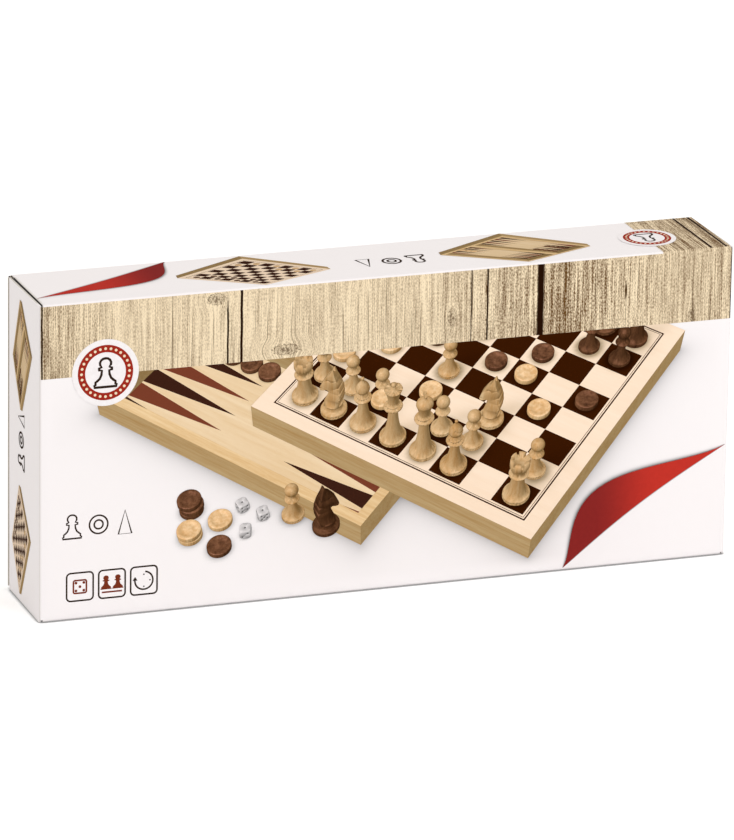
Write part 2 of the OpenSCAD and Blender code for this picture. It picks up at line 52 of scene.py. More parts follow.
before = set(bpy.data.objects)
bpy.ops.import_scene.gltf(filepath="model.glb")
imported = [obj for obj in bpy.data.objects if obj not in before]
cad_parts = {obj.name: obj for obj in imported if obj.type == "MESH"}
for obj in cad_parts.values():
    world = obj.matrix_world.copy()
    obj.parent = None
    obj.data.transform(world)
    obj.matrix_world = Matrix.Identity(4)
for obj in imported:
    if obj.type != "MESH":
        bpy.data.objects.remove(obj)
CAD_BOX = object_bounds()

MM = 0.001
LOW, HIGH = (Vector(corner) for corner in CAD_BOX)
CARTON_NODES = ["carton_sleeve"] + [
    f"{side}_{part}"
    for side in ("left", "right")
    for part in ("end_closure", "tuck_lip", "upper_dust_flap", "lower_dust_flap")
]


# ---------------------------------------------------------------- settings

def number(name, description, default, **more):
    return bpy.props.FloatProperty(name=name, description=description, default=default, **more)


def length(name, description, default, **more):
    return number(name, description, default, subtype="DISTANCE", unit="LENGTH", **more)


def angle(name, description, degrees):
    return number(name, description, math.radians(degrees), subtype="ANGLE", unit="ROTATION")


def ink(name, description, default):
    return bpy.props.FloatVectorProperty(
        name=name, description=description, default=default, subtype="COLOR", size=3, min=0, max=1)


def linear(code):
    """Turns an sRGB hex value to a linear colour."""
    parts = [int(code[i:i + 2], 16) / 255 for i in (1, 3, 5)]
    return tuple(c / 12.92 if c <= 0.04045 else ((c + 0.055) / 1.055) ** 2.4 for c in parts)


class CartonPrintSettings(bpy.types.PropertyGroup):
    """Sizes and inks of the print on the carton."""

    band_height: length("Plank band", "Height of the printed planks below the top fold", 0.0415)
    patch_length: length("Plank patch", "Length of the printed planks on the top's right end", 0.0415)
    fold_radius: length("Fold", "Outer radius of the folded edges", 0.0016)
    ink_lift: length("Ink lift", "Height of one layer of ink above the board", 0.00003, precision=6)
    roundel_radius: length("Roundel", "Radius of the white roundel", 0.0188)
    icon_size: length("Icon", "Edge of a small framed icon", 0.0160)
    board_white: ink("Board", "Clay coat of the board", linear("#F9F4F5"))
    red: ink("Red", "Ink of the sweeps", linear("#C4352B"))
    deep_red: ink("Deep red", "Ink at the far ends of the sweeps", linear("#8A2826"))
    ring_red: ink("Ring red", "Ink of the roundels' rings", linear("#A02C1E"))
    line: ink("Line", "Ink of the line drawings", linear("#33251C"))
    line_width: length("Line width", "Width of a drawn line", 0.00095)


class GamesPictureSettings(bpy.types.PropertyGroup):
    """How the printed still life of the games is seen."""

    scale: number("Scale", "Printed size over real size", 0.478)
    height: angle("Height", "Angle above the table from which the games are seen", 49)
    turn: angle("Turn", "Turn of the open board on the table", 144.5)
    distance: length("Distance", "Distance from which the games are seen", 1.7)
    men_size: number("Men", "Size of the pictured chessmen over those in the case", 1.6)
    draughts_size: number("Draughts", "Size of the pictured draughts over those in the case", 1.25)


class StudioSettings(bpy.types.PropertyGroup):
    """The camera and the lights."""

    azimuth: angle("Azimuth", "Angle of the camera to the left of the front", 19.509)
    elevation: angle("Elevation", "Angle of the camera above the table", 17.98)
    roll: angle("Roll", "Turn of the camera about its own axis", 0.92)
    distance: length("Distance", "Distance from the camera to the point that it looks at", 3.9753)
    lens: number("Lens", "Focal length in millimetres", 309.05, min=1)
    key_power: number("Key", "Power of the softbox on the right", 29.5, subtype="POWER", unit="POWER")
    sky: number("Sky", "Strength of the light from all round", 0.815)


# ---------------------------------------------------------------- materials

# How the shader takes light: varnished board, and printed ink, whose own sheen is lost in the print
BOARD_SHEEN = {"roughness": 0.42, "ior": 1.5, "specular_ior_level": 0.3}
INK_SHEEN = {"roughness": 0.5, "ior": 1.5, "specular_ior_level": 0.005}
# How light the bare white is by the measure of the pictured light
WHITE_LIGHT = 0.9


def add(tree, kind, *feeds, **settings):
    """Adds a node. A word after its kind is its operation, or the type of what it mixes. Feeds fill its
    open sockets in order, or by name from a dictionary: each is a value, or the node or socket to link."""
    kind, _, mode = kind.partition(" ")
    made = tree.nodes.new("ShaderNode" + kind)
    if mode:
        setattr(made, "data_type" if kind == "Mix" else "operation", mode)
    for name, value in settings.items():
        setattr(made, name, value)
    sockets = iter([socket for socket in made.inputs if socket.enabled])
    for feed in feeds:
        for name, value in feed.items() if isinstance(feed, dict) else ((None, feed),):
            socket = made.inputs[name] if name else next(sockets)
            if isinstance(value, bpy.types.Node):
                value = next(out for out in value.outputs if out.enabled)
            if isinstance(value, bpy.types.NodeSocket):
                tree.links.new(value, socket)
            elif isinstance(value, str):
                socket.default_value = (*linear(value), 1)
            else:
                socket.default_value = (*value, 1) if socket.type == "RGBA" else value
    return made


def new_finish(name):
    """A new material and the function that adds nodes to it."""
    material = bpy.data.materials.new(name)
    material.use_nodes = True
    material.node_tree.nodes.clear()
    return material, partial(add, material.node_tree)


def close(node, colour, relief=None, depth=0.0, **sockets):
    """Ends a material with its colour, its relief of that depth and numbers for the shader's own sockets."""
    inputs = {name.replace("_", " ").title().replace("Ior", "IOR"): value for name, value in sockets.items()}
    if relief is not None:
        inputs["Normal"] = node("Bump", {"Height": relief, "Distance": depth, "Strength": 1.0})
    node("OutputMaterial", {"Surface": node("BsdfPrincipled", {"Base Color": colour, **inputs})})


def dress(names, material):
    for name in names:
        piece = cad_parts[name]
        if not piece.material_slots:
            piece.data.materials.append(material)
        for slot in piece.material_slots:
            slot.material = material


def coated_boxboard(
        name, across, half, middle, cut_tones=("#8F8477", "#B8AEA0"), wide_coat=None, painted_slit_shade=False):
    """White-lined folding boxboard, clay-coated and matt-varnished outside: an even, faintly clouded
    white with a satin sheen outside, recycled grey board with flecks inside, and a raw grey cut edge.
    Across names the two axes of the rounded section that the sheet is folded to."""
    material, node = new_finish(name)
    settings = bpy.context.scene.carton_print
    place = node("TexCoord").outputs["Object"]
    axes = node("SeparateXYZ", place).outputs
    from_end = node("Math ABSOLUTE", axes["X"])
    radius, coat_depth, grey_depth = 1.6 * MM, 0.13 * MM, 1.12 * MM
    # How deep a point lies in the sheet, from the rounded section's outline
    offsets = []
    for axis, extent, centre in zip(across, half, middle):
        from_centre = node("Math ABSOLUTE", node("Math SUBTRACT", axes[axis], centre))
        offsets.append(node("Math SUBTRACT", from_centre, extent - radius))
    outside = [node("Math MAXIMUM", offset, 0.0) for offset in offsets]
    round_part = node("Math SQRT", node("Math ADD", *[node("Math MULTIPLY", part, part) for part in outside]))
    flat_part = node("Math MINIMUM", node("Math MAXIMUM", *offsets), 0.0)
    depth = node("Math SUBTRACT", radius, node("Math ADD", round_part, flat_part))
    coat_edge = coat_depth
    if wide_coat:
        # The coat runs on round the vertical folds, where the sheet is bent and not cut
        at_end = node("Math GREATER_THAN", from_end, HIGH.x - radius)
        if wide_coat == "front":
            near, extra = node("Math LESS_THAN", axes["Y"], LOW.y + radius), 0.45 * MM
        else:
            near, extra = node("Math GREATER_THAN", axes["Y"], middle[1] + half[1] - radius), 0.85 * MM
        coat_edge = node("Math MULTIPLY_ADD", node("Math MULTIPLY", at_end, near), extra, coat_depth)
    bare = node("Math GREATER_THAN", depth, coat_edge)
    inner = node("Math GREATER_THAN", depth, grey_depth)
    # Formation of the sheet clouds the coat at 8 mm, its fibres show as flecks of 1.2 mm in the bare grey
    cloud = node("TexNoise", place, 120.0, 4.0)
    fleck = node("TexNoise", place, 850.0, 3.0)
    white = tuple(settings.board_white)
    coat = node("Mix RGBA", cloud, tuple(c * 0.985 for c in white), white)
    if painted_slit_shade:
        # Painted shade: a band along the flaps' creases is coloured near black, standing in for the shadow in the
        # slit beside the end closure
        from_middle = node("Math ABSOLUTE", node("Math SUBTRACT", axes["Z"], HIGH.z / 2))
        slit_shade_band = node("Math COMPARE", from_middle, HIGH.z / 2 - 1.05 * MM, 0.5 * MM)
        coat = node("Mix RGBA", slit_shade_band, coat, "#120D0A")
    if wide_coat:
        # Painted shade: the coat greys on the front's vertical folds at the ends, standing in for shade on the
        # fold edges
        painted_fold_shade = node("MapRange", from_end, HIGH.x - 0.9 * MM, HIGH.x - 0.2 * MM, 0.0, 0.45)
        painted_fold_shade = node("Math MULTIPLY", painted_fold_shade, node("Math LESS_THAN", axes["Y"], LOW.y + 0.8 * MM))
        coat = node("Mix RGBA", painted_fold_shade, coat, "#BDB5AC")
    grey = node("Mix RGBA", fleck, "#A59C8F", "#C9C2B6")
    cut = node("Mix RGBA", fleck, *cut_tones)
    if wide_coat == "front":
        # Painted shade: the lower half of the top's end edges, down in the slot beside the end closure, is
        # coloured near black
        painted_slot_shade = node("Math COMPARE", axes["Z"], HIGH.z - 0.95 * MM, 0.45 * MM)
        cut = node("Mix RGBA", painted_slot_shade, cut, "#1A1310")
    # The cut edges run into the coat where the board is folded and not cut
    folded = node("MapRange", axes["Y"], LOW.y + 2.5 * MM, LOW.y + 8.5 * MM, 1.0, 0.0)
    cut = node("Mix RGBA", folded, cut, coat)
    colour = node("Mix RGBA", bare, coat, node("Mix RGBA", inner, cut, grey))
    # Calendered coat: fibres swell by a few hundredths of a millimetre, at 1.5 mm
    grain = node("TexNoise", place, 650.0, 2.0)
    close(node, colour, grain, 0.02 * MM, **BOARD_SHEEN)
    return material


def offset_ink(name, colour, second=None, along=(1, 0, 0), start=0.0, end=0.1):
    """Offset ink under matt varnish on coated board: a flat even colour with faint mottle from the
    sheet under it, and the satin sheen of the board. With a second colour it grades along a line."""
    material, node = new_finish(name)
    place = node("TexCoord").outputs["Object"]
    mottle = node("TexNoise", place, 500.0, 3.0)
    base = colour
    if second is not None:
        run = node("VectorMath DOT_PRODUCT", place, along)
        share = node("MapRange", run, start, end, interpolation_type="SMOOTHSTEP")
        base = node("Mix RGBA", share, colour, second)
    shade = node("MapRange", mottle, 0.3, 0.7, 0.94, 1.0)
    mixed = node("Mix RGBA", 1.0, base, shade, blend_type="MULTIPLY")
    close(node, mixed, mottle, 0.01 * MM, **INK_SHEEN)
    return material


def shades(node, value, low, high, stops):
    """A number that runs through the stops, each a place from low to high and a level."""
    ramp = node("ValToRGB", node("MapRange", value, low, high))
    for number, (place, level) in enumerate(stops):
        points = ramp.color_ramp.elements
        spot = points[number] if number < len(points) else points.new(1.0)
        spot.position, spot.color = (place - low) / (high - low), (level, level, level, 1)
    return ramp


# Where the printed planks are pale or brown, along the front
PLANK_TONES = (
    (-0.200, 0.66), (-0.192, 0.52), (-0.180, 0.66), (-0.165, 0.80), (-0.138, 0.70), (-0.115, 0.80),
    (-0.040, 0.75), (0.030, 0.72), (0.060, 0.55), (0.080, 0.50), (0.092, 0.31), (0.112, 0.35), (0.126, 0.62),
    (0.152, 0.74), (0.170, 0.60), (0.200, 0.60),
)
# How deep the grain's light and dark go, in the same way, at half value
PLANK_DEPTHS = (
    (-0.200, 0.72), (-0.180, 0.66), (-0.155, 0.50), (0.020, 0.48), (0.050, 0.68), (0.075, 0.82),
    (0.098, 0.96), (0.120, 0.92), (0.142, 0.78), (0.160, 0.60), (0.200, 0.62),
)
# Knots: place along the front, height less 30.5 mm, half width and half height
KNOTS = (
    (-0.1005, 0.1447, 0.0050, 0.0032), (-0.0605, 0.1128, 0.0075, 0.0030),
    (0.0350, 0.1225, 0.0022, 0.0050), (0.1760, 0.1120, 0.0020, 0.0034),
)
# One short crack, in the same way
CRACK = (0.1368, 0.1290, 0.00085, 0.0065)
# Gaps between planks: place along the front, width and, where one closes below the top, how high it runs. The
# first and last lie on the vertical folds and darken the fold edges
FRONT_GAPS = (
    (-0.1987, 0.0009), (-0.0938, 0.0011, 0.1725), (-0.0860, 0.0015), (0.0462, 0.0006),
    (0.0556, 0.0010), (0.0866, 0.0040), (0.1992, 0.0008),
)
TOP_GAPS = ((0.1873, 0.0015), (0.1961, 0.0015))
# The grain's marks: how often they come across, along and into the planks, and their weight. Growth rings
# 2 mm apart, fibres of 0.7 mm, grit and torn fibre ends of 1 mm, drawn coarse enough to show in print
GRAIN_MARKS = (((60, 5, 0), 0.50), ((500, 9, 0), 0.90), ((1700, 34, 0), 1.20), ((1800, 740, 0), 1.34),
               ((420, 120, 0), 0.35))


def weathered_planks():
    """Sun-bleached softwood planks, printed: pale straw with silvery ridges of late wood, brown fibres,
    checks along the grain, dark gaps between planks and ragged knots that the grain swings round."""
    material, node = new_finish("weathered_softwood_print")
    axes = node("SeparateXYZ", node("TexCoord").outputs["Object"]).outputs
    # Height plus depth runs on along the grain where the print turns over the top fold
    run = node("Math ADD", axes["Z"], axes["Y"])
    flat = node("CombineXYZ", axes["X"], run)

    def streaks(scale, detail, source=flat):
        """Noise drawn out along the planks, about zero."""
        stretched = node("VectorMath MULTIPLY", source, scale)
        return node("Math SUBTRACT", node("TexNoise", stretched, 1.0, detail), 0.5)

    def oval(x, height, half_width, half_height):
        """The way from a spot, and how far a point is in an oval about it, 1 at its edge."""
        away = node("VectorMath SUBTRACT", flat, (x, height, 0))
        shaped = node("VectorMath MULTIPLY", away, (1 / half_width, 1 / half_height, 0))
        return away, node("VectorMath LENGTH", shaped)

    grain_x = node("Math MULTIPLY_ADD", streaks((30, 14, 1), 2.0), 1.8 * MM, axes["X"])
    ragged = streaks((700, 480, 1), 3.0)
    knot_shade = 0.0
    for knot in KNOTS:
        away, distance = oval(*knot)
        pull = node("MapRange", distance, 0.4, 3.2, 0.45, 0.0, interpolation_type="SMOOTHSTEP")
        grain_x = node("Math SUBTRACT", grain_x, node("Math MULTIPLY", node("SeparateXYZ", away), pull))
        torn = node("Math MULTIPLY_ADD", ragged, 2.6, distance)
        core = node("MapRange", torn, 0.0, 0.8, 0.78, 0.0)
        # Thin brown rings run round the knot
        wave = node("Math SINE", node("Math MULTIPLY", torn, 8.5))
        line = node("MapRange", wave, 0.35, 0.95, 0.0, 0.80)
        inside = node("MapRange", distance, 1.0, 1.3, 1.0, 0.0)
        rings = node("Math MULTIPLY", line, inside)
        knot_shade = node("Math MAXIMUM", knot_shade, node("Math MAXIMUM", core, rings))
    grain = node("CombineXYZ", grain_x, run)

    tone = shades(node, axes["X"], LOW.x, HIGH.x, PLANK_TONES)
    stress = node("Math MULTIPLY", shades(node, axes["X"], LOW.x, HIGH.x, PLANK_DEPTHS), 2.0)
    marks = 0.0
    for scale, weight in GRAIN_MARKS:
        marks = node("Math MULTIPLY_ADD", streaks(scale, 2.0, grain), weight, marks)
    # The top's end shows older, browner planks with deeper grain
    upward = node("Math GREATER_THAN", axes["Z"], HIGH.z - 0.05 * MM)
    share = node("Math MULTIPLY_ADD", marks, node("Math MULTIPLY_ADD", upward, 0.6, stress), tone)
    share = node("Math SUBTRACT", share, node("Math MULTIPLY", upward, 0.13))
    wood = node("Mix RGBA", share, "#63431F", "#FAE6C4")
    # Checks: thin brown lines along the grain, broken where the fibre holds
    lines = node("TexNoise", node("VectorMath MULTIPLY", grain, (760, 13, 7)), 1.0, 1.0)
    checks = node("MapRange", lines, 0.66, 0.74, 0.0, 0.75)
    crack = node("MapRange", oval(*CRACK)[1], 0.5, 1.0, 1.0, 0.0)
    hollow = node("Math MAXIMUM", node("Math MAXIMUM", checks, crack), knot_shade)
    wood = node("Mix RGBA", hollow, wood, "#4E3519")

    # Gaps waver by a third of a millimetre, less on the top
    waver = node("Math MULTIPLY_ADD", upward, -0.8 * MM, 1.1 * MM)
    gap_x = node("Math MULTIPLY_ADD", streaks((1, 90, 0), 4.0), waver, axes["X"])
    masks = []
    for gaps in (FRONT_GAPS, TOP_GAPS):
        mask = 0.0
        for x, width, *top in gaps:
            off = node("Math ABSOLUTE", node("Math SUBTRACT", gap_x, x))
            gap = node("MapRange", off, width * 0.34, width * 0.62, 1.0, 0.0, interpolation_type="SMOOTHSTEP")
            for height in top:
                below = node("MapRange", axes["Z"], height - 4 * MM, height + 4 * MM, 1.0, 0.0)
                gap = node("Math MULTIPLY", gap, below)
            mask = node("Math MAXIMUM", mask, gap)
        masks.append(mask)
    colour = node("Mix RGBA", node("Mix FLOAT", upward, *masks), wood, "#241005")
    close(node, colour, share, 0.01 * MM, **INK_SHEEN)
    return material


def grained_wood(name, pale, brown, along, printed=False, ring=2.2, gloss=0.45, pattern=None):
    """Planed or turned hardwood under thin lacquer: straight fine grain and pores along one axis,
    with slow changes between pale and brown. Printed wood reads the pose it had when it was pictured,
    and its light and shade from the print. Pattern names the inks laid on it."""
    material, node = new_finish(name)
    if printed:
        place = node("Attribute", attribute_name="pictured").outputs["Vector"]
    else:
        place = node("TexCoord").outputs["Object"]
    fibre = node("VectorMath MULTIPLY", place, tuple(0.06 if axis == along else 1.0 for axis in range(3)))
    # Growth rings some 2 mm apart, pores 0.4 mm wide
    slow = node("TexNoise", fibre, 60.0, 2.0)
    rings = node("TexNoise", fibre, 1000.0 / ring, 3.0, {"Distortion": 0.3})
    pores = node("TexNoise", fibre, 2400.0, 2.0)
    tone = 0.0
    for marks, weight in ((slow, 0.5), (rings, 0.6), (pores, 0.3)):
        tone = node("Math MULTIPLY_ADD", marks, weight, tone)
    colour = node("Mix RGBA", node("MapRange", tone, 0.48, 0.92), brown, pale)
    if pattern:
        colour = board_inks(node, place, colour, pattern)
    if printed:
        light = node("Attribute", attribute_name="pictured_light").outputs["Color"]
        colour = node("Mix RGBA", 1.0, colour, light, blend_type="MULTIPLY")
        close(node, colour, **INK_SHEEN)
    else:
        close(node, colour, pores, 0.03 * MM, roughness=gloss, ior=1.5)
    return material


# The board: its squares, the fold's height and depth in the carton, and how far its outer faces are from it
SQUARES = (42.5 * MM, 38 * MM)
FOLD_LINE = 176.4 * MM
FOLD_DEPTH = -2.001 * MM
OUTER_FACE = 26.2 * MM


def board_inks(node, place, colour, pattern):
    """Inks on a pictured board, chequers or points, or on the case as it stands folded in the carton:
    chequers outside, or both. The board's own axes are x along the fold and y away from it."""
    axes = node("SeparateXYZ", place).outputs
    if pattern in ("chequers", "points"):
        return (chequers if pattern == "chequers" else points)(node, axes["X"], axes["Y"], colour)
    up = node("Math SUBTRACT", FOLD_LINE, axes["Z"])
    off = node("Math SUBTRACT", axes["Y"], FOLD_DEPTH)
    away = node("Math MULTIPLY", up, node("Math SIGN", off))
    face = node("Math GREATER_THAN", node("Math ABSOLUTE", off), OUTER_FACE)
    inside = points(node, axes["X"], away, colour) if pattern == "both" else colour
    return node("Mix RGBA", face, inside, chequers(node, axes["X"], away, colour))


def chequers(node, x, y, colour):
    """Screen-printed squares, 42.5 by 38 mm, and the double line round them, in dark brown ink."""
    counts = [node("Math DIVIDE", axis, square) for axis, square in zip((x, y), SQUARES)]
    spot = node("CombineXYZ", *counts, 0.5)
    squares = node("TexChecker", {"Vector": spot, "Scale": 1.0}).outputs["Fac"]
    past = [
        node("Math SUBTRACT", node("Math ABSOLUTE", axis), 4 * square)
        for axis, square in zip((x, y), SQUARES)]
    reach = node("Math MAXIMUM", *past)
    dark = node("Math MULTIPLY", squares, node("Math LESS_THAN", reach, 0.0))
    for middle, half in ((2.6, 0.35), (5.2, 0.9)):
        dark = node("Math MAXIMUM", dark, node("Math COMPARE", reach, middle * MM, half * MM))
    return node("Mix RGBA", dark, colour, "#371602")


def points(node, x, y, colour):
    """The screen-printed points of the inside, six at each end of a tray, dark and red-brown by turns."""
    from_fold = node("Math SUBTRACT", node("Math ABSOLUTE", y), 10.2 * MM)
    count = node("Math DIVIDE", from_fold, 25.83 * MM)
    other_end = node("Math GREATER_THAN", x, 0.0)
    parity = node("Math FLOORED_MODULO", node("Math ADD", node("Math FLOOR", count), other_end), 2.0)
    off = node("Math ABSOLUTE", node("Math SUBTRACT", node("Math FRACT", count), 0.5))
    run = node("MapRange", node("Math ABSOLUTE", x), 44 * MM, 186 * MM, -0.01, 0.46)
    fits = node("Math MULTIPLY", node("Math COMPARE", count, 3.0, 3.0), node("Math LESS_THAN", off, run))
    return node("Mix RGBA", fits, colour, node("Mix RGBA", parity, "#3E2016", "#7C3F2C"))


def lacquered_brass():
    """Rolled and stamped brass, brown-lacquered: a warm dull metal with fine rolling lines and worn spots."""
    material, node = new_finish("lacquered_brass")
    place = node("TexCoord").outputs["Object"]
    worn = node("TexNoise", place, 420.0, 4.0)
    lines = node("TexNoise", node("VectorMath MULTIPLY", place, (0.05, 1, 1)), 5000.0, 1.0)
    close(node, node("Mix RGBA", worn, "#7A5527", "#B58A48"), lines, 0.01 * MM, metallic=1.0, roughness=0.38)
    return material


def ground_steel():
    """Small sintered magnets, nickel-plated and ground: dull grey metal with grinding marks."""
    material, node = new_finish("ground_steel")
    place = node("TexCoord").outputs["Object"]
    marks = node("TexNoise", node("VectorMath MULTIPLY", place, (0.1, 1, 1)), 4000.0, 2.0)
    close(node, node("Mix RGBA", marks, "#77777A", "#9A9A9C"), marks, 0.01 * MM, metallic=1.0, roughness=0.42)
    return material


def cast_acrylic():
    """Cast and tumbled acrylic, as dice are: a creamy body with a soft gloss and faint tumbling marks."""
    material, node = new_finish("cast_acrylic")
    place = node("TexCoord").outputs["Object"]
    cloud = node("TexNoise", place, 300.0, 2.0)
    marks = node("TexNoise", place, 2500.0, 2.0)
    close(node, node("Mix RGBA", cloud, "#E4DAC2", "#F2EBDA"), marks, 0.005 * MM, roughness=0.22, ior=1.49)
    return material


def leaflet_stock():
    """Uncoated printing paper, folded: matt near-white with the faint tooth of its fibres."""
    material, node = new_finish("uncoated_paper")
    fibres = node("TexNoise", node("TexCoord").outputs["Object"], 1600.0, 3.0)
    close(node, node("Mix RGBA", fibres, "#E6E4DE", "#F4F3EF"), fibres, 0.02 * MM, roughness=0.8, ior=1.5)
    return material


def pictured_ground():
    """The board's own white, where the printed picture lays soft grey shade on it."""
    material, node = new_finish("shaded_white_ground")
    light = node("Attribute", attribute_name="pictured_light").outputs["Color"]
    grey = node("SeparateColor", light).outputs["Red"]
    white = tuple(c * WHITE_LIGHT for c in bpy.context.scene.carton_print.board_white)
    close(node, node("Mix RGBA", 1.0, white, grey, blend_type="MULTIPLY"), **BOARD_SHEEN)
    return material


def picture_inks():
    """The finishes of the still life, in the order of their numbers: board, sides, floor, men and ground."""
    return [
        grained_wood("pictured_board", "#FEE7D0", "#FAE0C6", 0, True, ring=5.0, pattern="chequers"),
        grained_wood("pictured_beech", "#F0D3A6", "#D8B07A", 0, True, ring=3.0),
        grained_wood("pictured_floor", "#F8DFBC", "#EBCB9F", 0, True, ring=5.0, pattern="points"),
        grained_wood("pictured_boxwood", "#EFCFA4", "#CB9A60", 2, True, ring=3.0),
        grained_wood("pictured_stained_wood", "#7A5238", "#3A2012", 2, True, ring=3.0),
        pictured_ground(),
    ]


# ---------------------------------------------------------------- modelling

def panel(name):
    """A panel's own frame: x and y as its print is read, z out of the board."""
    axes = {
        "front": ((1, 0, 0), (0, 0, 1), (0, -1, 0), (0, LOW.y, 0)),
        "back": ((-1, 0, 0), (0, 0, 1), (0, 1, 0), (0, HIGH.y, 0)),
        "top": ((-1, 0, 0), (0, -1, 0), (0, 0, 1), (0, 0, HIGH.z)),
        "left": ((0, 0, 1), (0, 1, 0), (-1, 0, 0), (LOW.x, 0, 0)),
        "right": ((0, 0, -1), (0, 1, 0), (1, 0, 0), (HIGH.x, 0, 0)),
    }[name]
    return Matrix([[axis[i] for axis in axes] for i in range(3)] + [[0, 0, 0, 1]])


# The moving body that each panel belongs to
PANEL_BODY = {
    "front": "carton", "back": "carton", "top": "carton", "left": "left_closure", "right": "right_closure",
}


def mesh_object(name, corners, faces):
    mesh = bpy.data.meshes.new(name)
    mesh.from_pydata([tuple(c) for c in corners], [], [tuple(f) for f in faces])
    mesh.update()
    made = bpy.data.objects.new(name, mesh)
    bpy.context.scene.collection.objects.link(made)
    return made


def strip_faces(rows, columns):
    """The faces of a grid of corners that are listed row by row."""
    return [(a, a + columns, a + columns + 1, a + 1)
            for row in range(rows - 1) for a in range(row * columns, (row + 1) * columns - 1)]


def alone(piece):
    """Makes a piece the only one that is selected."""
    bpy.ops.object.select_all(action="DESELECT")
    piece.select_set(True)
    bpy.context.view_layer.objects.active = piece


@contextmanager
def editing(piece):
    """Opens a piece in edit mode, selected all over."""
    alone(piece)
    bpy.ops.object.mode_set(mode="EDIT")
    bpy.ops.mesh.select_all(action="SELECT")
    yield
    bpy.ops.object.mode_set(mode="OBJECT")


def joined(pieces, name):
    alone(pieces[0])
    for piece in pieces:
        piece.select_set(True)
    if len(pieces) > 1:
        bpy.ops.object.join()
    pieces[0].name = pieces[0].data.name = name
    return pieces[0]


def moved(piece, x, y):
    piece.data.transform(Matrix.Translation((x, y, 0)))
    return piece


def printed(name, piece, where, layer, material, at=(0, 0), size=1.0):
    """Prints a flat drawing on a panel, in its layer of ink."""
    lift = bpy.context.scene.carton_print.ink_lift
    place = panel(where) @ Matrix.Translation((*at, layer * lift))
    piece.data.transform(place @ Matrix.Diagonal((size, size, 1, 1)))
    outward = panel(where).col[2].xyz
    if sum(face.normal.dot(outward) * face.area for face in piece.data.polygons) < 0:
        piece.data.flip_normals()
    piece.data.materials.clear()
    piece.data.materials.append(material)
    piece.name = name
    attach(piece, PANEL_BODY[where])


def border(width, height, corner, line):
    """The outline of a rounded rectangle, as a line of that width."""
    bpy.ops.mesh.primitive_plane_add(size=1)
    made = bpy.context.object
    with editing(made):
        bpy.ops.transform.resize(value=(width, height, 1))
        bpy.ops.mesh.bevel(offset=corner, segments=6, affect="VERTICES")
    with editing(made):
        bpy.ops.mesh.inset(thickness=line)
        bpy.ops.mesh.delete(type="FACE")
    return made


def disc(radius, at=(0, 0), sides=48):
    bpy.ops.mesh.primitive_circle_add(vertices=sides, radius=radius, fill_type="NGON")
    return moved(bpy.context.object, *at)


def ring(outer, inner):
    bpy.ops.mesh.primitive_circle_add(vertices=72, radius=outer, fill_type="NOTHING")
    made = bpy.context.object
    with editing(made):
        bpy.ops.mesh.extrude_region_move()
        bpy.ops.transform.resize(value=(inner / outer, inner / outer, 1))
    return made


def filled(outline):
    return mesh_object("drawing", [(*p, 0) for p in outline], [range(len(outline))])


def stroke(path, width, loop=True):
    """A drawn line of even width through the points of a path."""
    path = [Vector(p) for p in path]
    count = len(path)
    corners = []
    for i, spot in enumerate(path):
        before = path[i - 1] if loop or i else spot
        after = path[(i + 1) % count] if loop or i < count - 1 else spot
        run = (after - before).normalized()
        corners += [(spot.x - run.y * width / 2, spot.y + run.x * width / 2, 0),
                    (spot.x + run.y * width / 2, spot.y - run.x * width / 2, 0)]
    steps = count if loop else count - 1
    faces = [(2 * i, 2 * i + 1, (2 * i + 3) % (2 * count), (2 * i + 2) % (2 * count)) for i in range(steps)]
    return mesh_object("drawing", corners, faces)


# Half the outline of a pawn, from the top of its head down to the foot, in units of which it is 10.6 high
PAWN_HALF = [
    (0, 10.6), (0.9, 10.45), (1.65, 9.9), (2.05, 9.1), (2.0, 8.2), (1.45, 7.35), (2.5, 6.95), (2.5, 6.35),
    (1.35, 6.1), (1.5, 4.6), (2.1, 3.2), (3.1, 2.3), (3.7, 1.9), (3.7, 0.9), (4.2, 0.7), (4.2, 0),
]


def pawn_outline(size):
    """The outline of a pawn, that many metres high."""
    tall = PAWN_HALF[0][1]
    unit = size / tall
    right = [(x * unit, (y - tall / 2) * unit) for x, y in PAWN_HALF]
    return right + [(-x, y) for x, y in reversed(right[1:])]


def three_games(size, gap, line):
    """Three small line drawings in a row for chess, draughts and backgammon."""
    counter = joined([ring(size * share, size * share - line) for share in (0.42, 0.22)], "drawing")
    half = size * 0.28
    point = stroke([(-half, -size / 2), (half, -size / 2), (0, size / 2)], line)
    pawn = stroke(pawn_outline(size), line)
    return joined([moved(pawn, -gap, 0), counter, moved(point, gap, 0)], "three_games")


# ---------------------------------------------------------------- the printed still life

# The finishes that picture_inks makes, by their number
BOARD, SIDES, FLOOR, LIGHT, DARK, GROUND = range(6)
# How strongly each kind of man is lit, and how much its lacquer shines
WOOD_TONES = {LIGHT: 1.15, DARK: 1.35}
GLOSS = {LIGHT: 0.22, DARK: 1.4, GROUND: 0.1}
MEN_TONE = 0.89
# Layers of the picture lie this far apart, and the lowest this far off the board
FIRST_LAYER, LAYER = 0.03 * MM, 0.006 * MM
# How far a standing piece rises from the board, by its real height
RELIEF = 0.0003


def spin(turn):
    """Turns rows of points about z."""
    return np.array([[math.cos(turn), math.sin(turn), 0], [-math.sin(turn), math.cos(turn), 0], [0, 0, 1]])


def unit(*way):
    return np.array(way) / np.linalg.norm(way)


# The ways to the sun and to the light behind the games
SUN = unit(-0.42, -0.38, 0.82)
BACK_LIGHT = unit(0.75, 0.2, 0.35)


